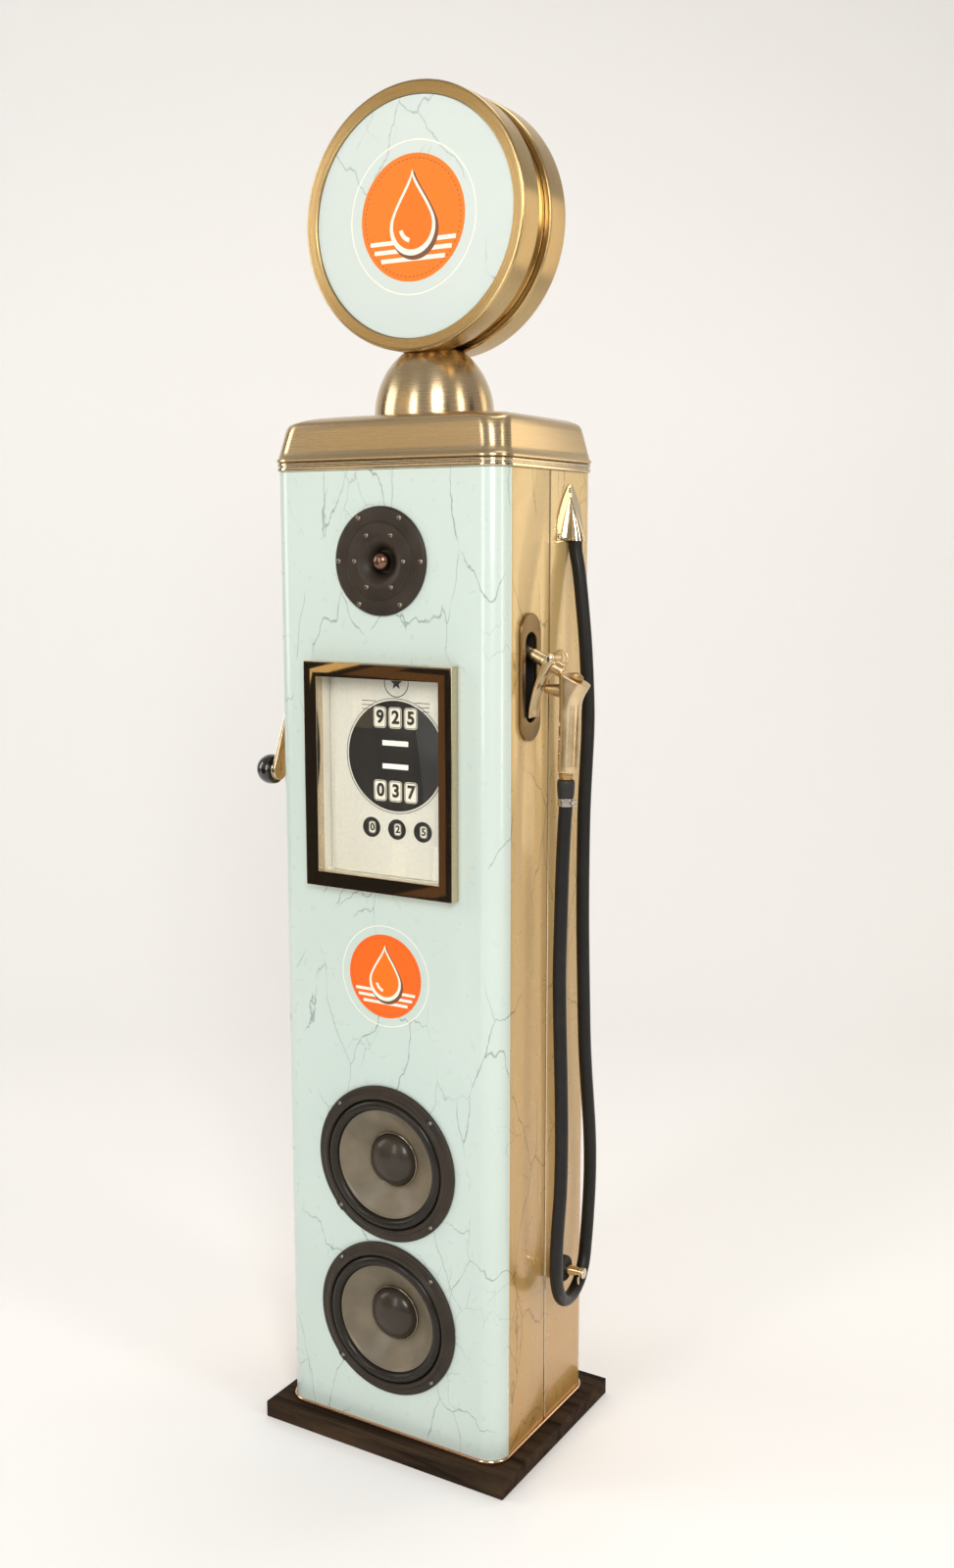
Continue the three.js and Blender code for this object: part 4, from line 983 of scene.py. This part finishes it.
# ---- display --------------------------------------------------------------------------------------
def add_display():
    place = facing("front", 0, -HALF_D, DISPLAY_Z)
    outer, inner = rectangle(107, 139.95), rectangle(88, 120.95)
    bezel = plate("display_frame_look", [outer, inner], 0.3, 14.8, 0.5, place, 3)
    finish_piece(bezel, "mirror")
    pane = plate("display_glass_look", [rectangle(91.4, 124.4)], 0.6, 2.6, 0.2, place)
    finish_piece(pane, "glass")
    pane.visible_shadow = False
    tray = plate("display_box_wall", [rectangle(92, 124.9), rectangle(89, 121.9)], -21, 0, 0.3, place)
    back = plate("display_box_back", [rectangle(92, 124.9)], -24, -21.2, 0.3, place)
    finish_piece(joined("display_box_look", [tray, back]), "cream")
    card = plate("dial_plate_look", [rectangle(88.6, 121.5)], -20.7, -19.2, 0.15, place)
    finish_piece(card, "cream")
    add_dial(moved(place, 5, 0, -19.2))


def digit_window(name, place, x, y, width, height, text, edge=1.0):
    """A number drum behind its window: a pale edge, a dark gap, the pale face and a bold numeral."""
    layers = (("rim", 1.7, 0.62, "drum_white"), ("gap", 1.0, 0.68, "ink"),
              ("face", 0.2, 0.74, "drum_white"))
    for label, extra, high, material in layers:
        extra *= edge
        outline = rectangle(width / 2 + extra, height / 2 + extra, x, y, 2.4 + extra)
        finish_piece(plate(f"{name}_{label}", [outline], 0.5, high, 0.02, place, 0), material)
    mark = digits(f"{name}_number", text, height * 0.98, moved(place, x + width * 0.04, y, 0.85), 0.16)
    finish_piece(mark, "ink")


def add_dial(place):
    """The printed dial: a large black disc with two rows of number drums and three small ones."""
    centre_y, radius = 24.6, 66.5

    def ink(label, outlines, low, high, material):
        finish_piece(plate(f"dial_{label}", outlines, low, high, 0.02, place, 0), material)

    ink("outer_ring", [circle(radius + 3, 0, centre_y, 128), circle(radius + 2.3, 0, centre_y, 128)],
        0.02, 0.3, "ink")
    ink("disc", [circle(radius, 0, centre_y, 128)], 0.02, 0.5, "ink")
    for i, text in enumerate("925"):
        digit_window(f"dial_top_{i}", place, -21.5 + 21.5 * i, centre_y + 46, 14.5, 22, text)
    for i, text in enumerate("037"):
        digit_window(f"dial_low_{i}", place, -21.5 + 21.5 * i, centre_y - 42.5, 14.5, 22, text)
    for i, y in enumerate((15.5, -12.5)):
        ink(f"bar_{i}", [rectangle(18, 3.1, 0, centre_y + y)], 0.4, 0.62, "pale_ink")
    for i in range(3):
        y = centre_y + 65 - 5 * i
        for sign in (-1, 1):
            start = 27 + 4.5 * i
            ink(f"speed_{i}_{'l' if sign < 0 else 'r'}",
                [rectangle((47 - start) / 2, 0.45, sign * (47 + start) / 2, y)], 0.02, 0.2, "ink")
    for i, text in enumerate("025"):
        x = -34.6 + 36.1 * i
        ink(f"small_disc_{i}", [circle(12.4, x, -64)], 0.02, 0.5, "ink")
        digit_window(f"dial_small_{i}", place, x + 1.2, -64, 7.6, 12.6, text, 0.6)
    ink("badge", [circle(17, 1.5, 112, 64), circle(15.9, 1.5, 112, 64)], 0.02, 0.2, "ink")
    ink("badge_star", [star(8.6, 3.6, 5, 1.5, 112)], 0.02, 0.2, "ink")


def star(outer, inner, points, x, y):
    made = []
    for i in range(2 * points):
        r = outer if i % 2 == 0 else inner
        angle = math.radians(90 + i * 180 / points)
        made.append((x + r * math.cos(angle), y + r * math.sin(angle)))
    return made


# ---- loudspeakers ---------------------------------------------------------------------------------
def add_tweeter():
    place = facing("front", 0, -HALF_D, TWEETER_Z)
    plate_line = [(0, -48), (36, -48), (36, -18), (50, -18), (50, 0.3), (64.7, 0.3), (64.7, 2.6),
                  (62.6, 4.5), (56, 4.9), (47.2, 5.1), (46.6, 4.3), (45.6, 4.3), (45, 5.2), (32, 5.6),
                  (27.5, 4.6), (23.4, 2.2), (19.8, -1.2), (17.2, -4.6), (15.6, -7.6), (14.8, -10.6),
                  (14.6, -12.6), (0, -12.6)]
    turned("tweeter_plate_look", plate_line, "black", "cabinet", place, 160, False, 0.7)
    plug = [(0, -13.7), (5.5, -13.7), (5.5, -9.2), (8.4, -8.2), (10.6, -5.4), (11.5, -1.8), (11.1, 1.4),
            (9.6, 4.4), (7.2, 6.8), (4.2, 8.5), (0, 9.2)]
    turned("tweeter_plug_look", plug, "plug", "cabinet", place, 96, False, 1.2)
    heads = [screw_head("head", spot, 3.3, 2.2) for spot in around(place, 58.5, 6, 0, 4.3)]
    heads += [screw_head("head", spot, 3.0, 1.9) for spot in around(place, 35, 6, 0, 5.2, 0.4)]
    finish_piece(joined("tweeter_screws", heads), "screw")
    dashes = []
    for i in range(12):
        start = 30 * i + 6
        outline = arc(0, 0, 49.6, start, start + 14, 6) + arc(0, 0, 48.6, start + 14, start, 6)
        dashes.append(plate("dash", [outline], 4.9, 5.2, 0.03, place, 0))
    finish_piece(joined("tweeter_dashes", dashes), "ink")


def add_woofer(name, z, body):
    place = facing("front", 0, -HALF_D, z)
    frame_line = [(0, -88), (52, -88), (52, -62), (87.5, -6), (87.5, 0.3), (101.4, 0.3), (101.4, 3.4),
                  (99.6, 4.9), (94, 5.3), (91.6, 6), (90.4, 8.4), (88, 9.2), (85.6, 8.4), (84.8, 6.6),
                  (84.6, -2), (44, -50), (44, -59), (0, -59)]
    turned(f"{name}_frame_look", frame_line, "black", "cabinet", place, 192, False, 1.0)
    roll = [(84.3, 2.2)] + [(77.45 + 6.6 * math.cos(math.radians(a)), 3.4 + 7.0 * math.sin(math.radians(a)))
                            for a in range(0, 181, 12)] + [(70.6, 2.2)]
    turned(f"{name}_surround_look", roll, "surround", "cabinet", place, 192, True, 0)
    lip = [(70.2, 4.5), (68.6, 3.7)]
    flare = [(17.4 + 50 * s, -25 + 27.4 * (s ** 1.12)) for s in [1 - i / 14 for i in range(15)]]
    cone_line = [*lip, *flare, (17.4, -52), (19, -52), (19, -26.6), (70.2, 2.7)]
    turned(f"{name}_cone_look", cone_line, "cone", body, place, 192, True, 0.3)
    rise = [(33.4 * math.cos(math.radians(a)), -15.2 + 17.6 * math.sin(math.radians(a)))
            for a in range(0, 91, 6)]
    cap_line = [(0, -16.8), (33.4, -15.6), *rise[1:-1], (0, 2.6)]
    turned(f"{name}_cap_look", cap_line, "cap", body, place, 160, False, 0.5)
    collar = [(33.6, -15.6), (35.6, -14.6), (35.9, -13.7), (34.8, -13.2), (33.5, -14.2)]
    turned(f"{name}_cap_collar", collar, "screw", body, place, 160, True, 0.4)
    heads = [screw_head("head", spot, 3.1, 2.2) for spot in around(place, 96.3, 4, 45, 4.4)]
    finish_piece(joined(f"{name}_screws", heads), "screw")
    seat = [rectangle(4.4, 7.5, 0, 0, 3.0), circle(3.6, 0, 0, 32)]
    seats = [plate("seat", seat, 4.4, 5.7, 0.4, spot) for spot in around(place, 96.3, 4, 45, 0)]
    finish_piece(joined(f"{name}_screw_seats", seats), "rubber")


# ---- rear -----------------------------------------------------------------------------------------
def add_rear():
    back = facing("back", 0, HALF_D, AMPLIFIER_Z)
    holes = [rectangle(105, 85, 0, 0, 5), rectangle(14.2, 10.4, -60, -40, 2), rectangle(7.7, 10.7, -60, 6)]
    panel = plate("amplifier_plate", holes, 0.3, 3.0, 0.5, back)
    tub = block("amplifier_tub", (176, 136, 50), (0, 0, -31.5), back, 1.0)
    carve(tub, block("switch_well", (15.4, 21.4, 12), (-60, 6, -6.5), back))
    fins = [block("fin", (3, 96, 5.6), (12 + 9 * i, 14, 5.4), back, 0.7) for i in range(8)]
    finish_piece(joined("amplifier_look", [panel, tub, *fins]), "powder")
    for i, x in enumerate((16, 48)):
        turned(f"amplifier_knob_{i}", [(0, 3), (9, 3), (8.4, 7.4), (7.2, 8.0), (0, 8.0)],
               "gloss_black", "cabinet", moved(back, x, -56, 0), 48, False, 0.8)
    heads = [screw_head("head", moved(back, x, y, 3.0, 0.4 * x), 3.2, 1.8)
             for x in (-98, 0, 98) for y in (-78, 78)]
    finish_piece(joined("amplifier_screws", heads), "screw")

    flange = plate("inlet_flange", [rectangle(20, 13, -60, -40, 3), rectangle(11, 7, -60, -40, 2.4)],
                   3.3, 5.8, 0.6, back)
    sleeve = plate("inlet_sleeve", [rectangle(13.9, 10.1, -60, -40, 1.6), rectangle(11, 7, -60, -40, 2.4)],
                   -12, 3.4, 0.3, back)
    floor = plate("inlet_floor", [rectangle(13.9, 10.1, -60, -40, 1.6)], -13.5, -12, 0.3, back)
    finish_piece(joined("power_inlet_look", [flange, sleeve, floor]), "black")
    pins = [block("pin", (2, 4.4, 8.8), (-60 + x, -40 + y, -7.6), back, 0.4)
            for x, y in ((-7, -2), (0, 2), (7, -2))]
    finish_piece(joined("power_inlet_pins", pins), "steel")

    outline = [(-8.6, 7.2), (-8.2, -6), (8.2, -6), (8.6, 1.6), (0.5, 3.4)]
    across = [[(-60 + s * 7, 6 + u, v) for u, v in outline] for s in (-1, 1)]
    rocker = stack("power_switch_look", across, back)
    finish_piece(bevel(rocker, 0.6, 3), "gloss_black", "rocker")


# ---- nozzle side ----------------------------------------------------------------------------------
def add_boot():
    side = facing("right", HALF_W, 0, 0)
    cover = plate("boot_plate_look", [stadium(23.8, 75.8, BOOT_Y, BOOT_Z, 32),
                                      stadium(13.45, 53.3, BOOT_Y, BOOT_Z, 32)],
                  0.3, 4.5, 1.1, side, 4)
    finish_piece(cover, "brushed_plate", "cabinet", 30)
    wall = plate("boot_wall", [stadium(15.4, 55.2, BOOT_Y, BOOT_Z), stadium(13.9, 53.7, BOOT_Y, BOOT_Z)],
                 -66, 0.2, 0.3, side)
    floor = plate("boot_floor", [stadium(15.4, 55.2, BOOT_Y, BOOT_Z)], -68, -66.2, 0.3, side)
    finish_piece(joined("boot_pocket_look", [wall, floor]), "rubber")


def add_outlet():
    """The shield plate and the drawn scoop that the hose leaves from."""
    y0, z0, height, half = 49.0, 1163.0, 66.0, 34.0
    outline = [(-half, 0), (half, 0)]
    outline += [quadratic((half, 0), (half + 2, height * 0.55), (6, height), i / 14) for i in range(1, 15)]
    outline += [quadratic((6, height), (0, height + 3.5), (-6, height), i / 6) for i in range(1, 7)]
    outline += [quadratic((-6, height), (-half - 2, height * 0.55), (-half, 0), i / 14)
                for i in range(1, 14)]
    place = facing("right", 162.8, y0, z0)
    shield = plate("outlet_shield", [outline], 0, 1.5, 0.5, place, 3)
    shares = [0.0, 0.08, 0.2, 0.34, 0.5, 0.64, 0.78, 0.9, 1.0]
    outer, inner = [], []
    for share in shares:
        scale = 1 - 0.92 * share ** 1.25
        z = z0 + 52 * share
        reach, radius = 8.9 * scale + 0.4, 10.6 * scale + 0.4
        for ring, inset in ((outer, 0.0), (inner, 1.1)):
            r = max(radius - inset, 0.2)
            ring.append([(162.9 + reach + r * math.cos(math.radians(a)), y0 + r * math.sin(math.radians(a)),
                          z)
                         for a in range(-90, 91, 9)] + [(163.2, y0 + r, z)] + [(163.2, y0 - r, z)])
    scoop = stack("outlet_scoop", outer)
    lifted = [[(x, y, z - 1.4) for x, y, z in ring] for ring in inner]
    carve(scoop, stack("scoop_inside", lifted))
    cover = joined("outlet_cover_look", [shield, scoop])
    finish_piece(cover, "polished", "cabinet", 40)
    spots = {"top": (0, height - 5.5), "front": (-half + 5.5, 5), "rear": (half - 5.5, 5)}
    for name, (across, up) in spots.items():
        head = screw_head(f"outlet_screw_{name}_look", moved(place, across, up, 1.8), 3.4, 2.2)
        finish_piece(head, "polished")
    return cover


def quadratic(a, b, c, t):
    return tuple(Vector(a) * (1 - t) ** 2 + Vector(b) * 2 * t * (1 - t) + Vector(c) * t * t)


def add_hose(fittings):
    line = smooth_route(HOSE_ROUTE)
    hose = tube("hose_look", line, HOSE_DIAMETER / 2, 28)
    finish_piece(hose, "hose", None, 60)
    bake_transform(hose)


def add_hose_fittings():
    x = 214.1
    place = Matrix.Translation((x, BOOT_Y, 0))
    nipple = turned("hose_nipple_look", [(0, 885.2), (8.2, 885.2), (8.2, 888.6), (9, 890), (9, 892.7),
                                         (0, 892.7)],
                    "brass", "nozzle", place, 64, False, 0.5)
    ferrule = turned("hose_ferrule_look", [
        (0, 863.2), (9.3, 863.2), (9.9, 866), (10.2, 871), (10.6, 877), (10.6, 881.5), (9.8, 884.6),
        (0, 885)],
        "rubber", "nozzle", place, 64, False, 0.8)
    inner = HOSE_DIAMETER / 2 + 0.3
    ring = turned("clamp_band", [(inner, 853.6), (inner + 1.2, 853.6), (inner + 1.2, 862.8),
                                 (inner, 862.8)],
                  "steel", "nozzle", place, 64, True, 0.3, done=False)
    grooves = [turned("clamp_bead", [(inner + 1.0, z - 0.7), (inner + 1.5, z), (inner + 1.0, z + 0.7)],
                      "steel",
                      "nozzle", place, 64, True, 0, done=False) for z in (855.2, 861.2)]
    housing = block("clamp_housing", (4.6, 8, 6.2), (x + inner + 2.4, BOOT_Y, 858.2), None, 0.8)
    spot = laid(x + inner + 2.6, BOOT_Y - 4, 858.2)
    head = screw_head("clamp_screw", spot, 2.5, 2.4)
    clamp = joined("hose_clamp_look", [ring, *grooves, housing, head])
    finish_piece(clamp, "steel", "nozzle")
    return [nipple, ferrule, clamp]


def add_peg():
    side = facing("right", HALF_W, PEG_Y, PEG_Z)
    reach = 42.5
    line = [(0, -8), (3, -8), (3, 1.3), (6.4, 1.3), (6.4, reach - 5), (5.9, reach - 4.4),
            (5.9, reach - 3.8), (6.9, reach - 3.2), (6.9, reach - 0.8), (6.0, reach), (0, reach)]
    peg = turned("peg_rod", line, "polished", "cabinet", side, 64, False, 0.6, done=False)
    pin = rod_between("peg_pin", (195.8, PEG_Y, 224), (195.8, PEG_Y, 212.2), 1.5, 24, 0.5)
    finish_piece(joined("hose_peg_look", [peg, pin]), "polished")
    bush = [(6.7, 0.3), (17, 0.3), (17, 12.5), (16.2, 15.8), (13.6, 17.5), (6.7, 17.5)]
    turned("peg_bush_look", bush, "rubber", "cabinet", side, 72, True, 1.4)


def spout_point(x):
    """A point on the spout's sloping axis."""
    return x, BOOT_Y, 1033.6 - 0.445 * (x - 162.3)


def add_nozzle_body():
    grip = [
        (893, 216.2, 10.6, 9.8, 9), (895, 216.3, 11.6, 10.6, 9.8), (901, 216.8, 12.4, 11.4, 10.6),
        (915, 217.4, 12.5, 11.6, 10.8), (940, 218.2, 12.7, 11.8, 11), (958, 218.8, 12.8, 12, 11),
        (974, 219.2, 13, 12, 11), (980, 220, 13.8, 12.2, 11), (986, 221.4, 15.2, 12.4, 11),
        (993, 223.6, 17.4, 12.6, 11), (1000, 225.6, 19.4, 12.8, 11), (1008, 227, 21, 13, 11),
        (1018, 228, 21.8, 13, 11),
    ]
    rings = []
    for z, x, a, b, corner in grip:
        rings.append([(x + px, BOOT_Y + py, z) for px, py, _ in rounded_ring(a, b, corner, 0, 10)])
    casting = stack("nozzle_casting", rings)
    angle = math.atan(0.47)
    cutter = block("slant", (90, 50, 40), (0, 0, 20),
                   Matrix.Translation((228, BOOT_Y, 1003)) @ Matrix.Rotation(angle, 4, "Y"))
    carve(casting, cutter)

    boss = rod_between("boss", spout_point(189), spout_point(212), [(0.0, 7.8), (0.12, 8.2), (1.0, 8.8)])
    valve = rod_between("valve_boss", (186, BOOT_Y, 991), (212, BOOT_Y, 989),
                        [(0.0, 5.2), (0.1, 5.8), (0.55, 7.4), (1.0, 9.0)])
    lug = rod_between("lug", (PIVOT_X, BOOT_Y - 9.2, PIVOT_Z), (PIVOT_X, BOOT_Y + 9.2, PIVOT_Z), 5.8)
    carve(casting, boss, valve, lug, operation="UNION")
    remesh = casting.modifiers.new("fuse", "REMESH")
    remesh.mode = "VOXEL"
    remesh.voxel_size = 0.55 * MM
    relax = casting.modifiers.new("relax", "SMOOTH")
    relax.factor = 0.5
    relax.iterations = 7
    settle(casting)
    marks = [rod_between("mark", (202.6, BOOT_Y - 17, z), (210.2, BOOT_Y - 7, z), 3.6, 32)
             for z in (917, 934, 951)]
    bore = rod_between("bore", (180, BOOT_Y, 991.5), (204, BOOT_Y, 989.6), 3.8)
    pin_bore = rod_between("pin_bore", (PIVOT_X, BOOT_Y - 20, PIVOT_Z), (PIVOT_X, BOOT_Y + 20, PIVOT_Z),
                           3.2)
    carve(casting, *marks, bore, pin_bore)

    wire = [(8.3 + 1.6 * math.cos(math.radians(a)), 1.6 * math.sin(math.radians(a)))
            for a in range(0, 360, 20)]
    ring = lathe("ring", wire, 72, laid(206.5, BOOT_Y, 1027.8), True)
    neck = rod_between("ring_neck", (206.5, BOOT_Y, 1014), (206.5, BOOT_Y, 1020.6),
                       [(0.0, 4.2), (0.6, 3.2), (1.0, 2.2)])
    body = joined("nozzle_body_look", [casting, ring, neck])
    finish_piece(body, "cast", "nozzle", 45)

    slope = Matrix.Translation((226, BOOT_Y + 1, 1004.4)) @ Matrix.Rotation(angle, 4, "Y")
    hexagon = plate("cap_hex", [arc(0, 0, 8.8, 0, 300, 5)], 0, 3.6, 0.4, slope)
    crown = turned("cap_crown", [(0, 3.0), (7.2, 3.0), (7.0, 4.4), (4.8, 5.4), (4.4, 6.0), (0, 6.4)],
                   "brass",
                   "nozzle", slope, 48, False, 0.5, done=False)
    finish_piece(joined("valve_cap_look", [hexagon, crown]), "brass", "nozzle")


def add_spout():
    shaft = rod_between("nozzle_spout_look", spout_point(133), spout_point(186.5), [
        (0.0, 5.2), (0.02, 5.6), (0.3, 6.0), (0.64, 6.4), (0.66, 7.3), (0.72, 7.4), (0.74, 7.2),
        (0.92, 7.5), (0.94, 7.8), (1.0, 7.8)], 64, 0.5)
    carve(shaft, rod_between("mouth", spout_point(131), spout_point(159), 4.2, 48))
    finish_piece(shaft, "cast", "nozzle", 40)
    turned("pivot_pin_look", [(0, -13), (4.4, -13), (4.4, -12), (3, -12), (3, 12), (5, 12), (4.6, 13.1),
                              (0, 13.8)],
           "polished", "nozzle",
           laid(PIVOT_X, BOOT_Y, PIVOT_Z),
           48, False, 0.6)
    stem = rod_between("valve_stem_look", (180.6, BOOT_Y, 991.4), (197, BOOT_Y, 990.1), 3.5, 48)
    finish_piece(stem, "steel", "valve")


def add_trigger():
    """A pressed channel: two cheeks round the pivot and a curved web."""
    upright = laid(0, BOOT_Y, 0)
    outer = [(169.2, 956), (169.1, 961), (169.6, 967), (171, 975), (172.8, 982), (175, 989.5), (177.6, 997),
             (180.6, 1005.4), (184, 1013.6), (187.6, 1021), (190.8, 1027.8)]
    pivot = arc(PIVOT_X, PIVOT_Z, 6.2, 177, -42, 20)
    inner = [(196.6, 1017), (192.5, 1011.2), (188.2, 1005.6), (184, 999.5), (181, 994.4), (178.6, 989),
             (176.2, 981.6), (174.4, 974.6), (172.6, 966.6), (171.7, 960.6), (171.6, 956)]
    cheeks = [plate("cheek", [outer + pivot + inner, circle(3.1, PIVOT_X, PIVOT_Z, 32)], low, low + 2, 0.5,
                    upright)
              for low in (9.6, -11.6)]
    spine = [(170.4, 956.3), (170.3, 961), (170.8, 966.8), (172.2, 974.6), (174, 981.6), (176.2, 989.1),
             (178.8, 996.5), (182.4, 1006)]
    rings = []
    for i, (x, z) in enumerate(spine):
        a, b = spine[max(i - 1, 0)], spine[min(i + 1, len(spine) - 1)]
        way = Vector((b[0] - a[0], b[1] - a[1])).normalized()
        across = Vector((way.y, -way.x)) * 1.15
        rings.append([(x + across.x * s, BOOT_Y + t * 11, z + across.y * s)
                      for s, t in ((-1, -1), (1, -1), (1, 1), (-1, 1))])
    web = bevel(stack("web", rings), 0.4, 2, 40)
    lever = joined("trigger_lever_look", [web, *cheeks])
    finish_piece(lever, "cast", "trigger", 35)


# ---- crank ----------------------------------------------------------------------------------------
def add_crank():
    side = facing("left", -HALF_W, CRANK_Y, CRANK_Z)
    bush = [(6.6, -13.8), (9.1, -13.8), (9.1, 0.3), (16, 0.3), (16, 2.2), (14.6, 3.5), (6.6, 3.6)]
    turned("crank_bush_look", bush, "polished", "cabinet", side, 72, True, 0.6)
    end = (30.9, -79.9)
    length = math.hypot(*end)
    swing = math.atan2(end[0], -end[1])
    low, high = 24.7, 29.2
    outline = arc(0, 0, 12, 0, 180, 24) + arc(0, -length, 13.2, 180, 360, 24)
    arm = plate("crank_blade", [outline], low, high, 0.8, side @ Matrix.Rotation(swing, 4, "Z"), 3)
    hub = turned("crank_hub", [(0, -22), (6.2, -22), (6.2, 4), (10.4, 4), (11, 5), (11, low - 2),
                               (10.4, low - 0.6), (10.4, low + 0.4), (0, low + 0.4)], "brushed_plate",
                               "crank", side, 64, False, 0.6,
                 done=False)
    bolt = turned("crank_bolt", [(0, high - 0.4), (6.4, high - 0.4), (6.4, high + 2.2), (4.6, high + 3.4),
                                 (0, high + 3.8)],
                  "polished", "crank", side, 48, False, 0.7, done=False)
    pin = turned("crank_pin", [(0, low + 0.5), (4, low + 0.5), (4, high + 15.8), (0, high + 15.8)],
                 "polished",
                 "crank", moved(side, *end, 0), 48, False, 0.4, done=False)
    finish_piece(joined("crank_arm_look", [arm, hub, bolt, pin]), "polished", "crank")

    knob = moved(side, *end, 0)
    ferrule = [(4.1, high + 0.3), (12.5, high + 0.3), (13.2, high + 1.1), (12.8, high + 2),
               (11.6, high + 3), (4.1, high + 3)]
    turned("knob_ferrule_look", ferrule, "polished", "knob", knob, 72, True, 0.4)
    centre, radius = 39.5, 19.4
    start = high + 3.3 - centre
    dome = [(math.sqrt(max(radius ** 2 - h ** 2, 0)), centre + h) for h in
            [start + (radius - start) * (1 - math.cos(math.radians(180 * i / 40))) / 2 for i in range(41)]]
    line = [(0, high + 17), (4.1, high + 17), (4.1, centre + start), *dome[:-1], (0, centre + radius)]
    turned("crank_knob_look", line, "gloss_black", "knob", knob, 96, False, 0, 50)


# ---- whole ----------------------------------------------------------------------------------------
def dress_hidden_nodes():
    """The inner pieces keep their CAD shape and get a finish."""
    finishes = {"inner_frame": "board", "speaker_baffle": "board", "top_plate": "board",
                "globe_lamp": "lamp"}
    for name, material in finishes.items():
        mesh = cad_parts[name].data
        mesh.materials.clear()
        mesh.materials.append(LOOKS[material])


add_camera()
LOOKS = make_materials()
add_hose([add_outlet(), *add_hose_fittings()])
add_world()
add_stage()
add_lights()
add_base()
add_cabinet()
add_top()
add_globe()
add_emblem("front", facing("front", 0, -HALF_D, ROUNDEL_Z), 53)
add_display()
add_tweeter()
add_woofer("woofer_upper", UPPER_WOOFER_Z, "upper_cone")
add_woofer("woofer_lower", LOWER_WOOFER_Z, "lower_cone")
add_rear()
add_boot()
add_peg()
add_nozzle_body()
add_spout()
add_trigger()
add_crank()
dress_hidden_nodes()
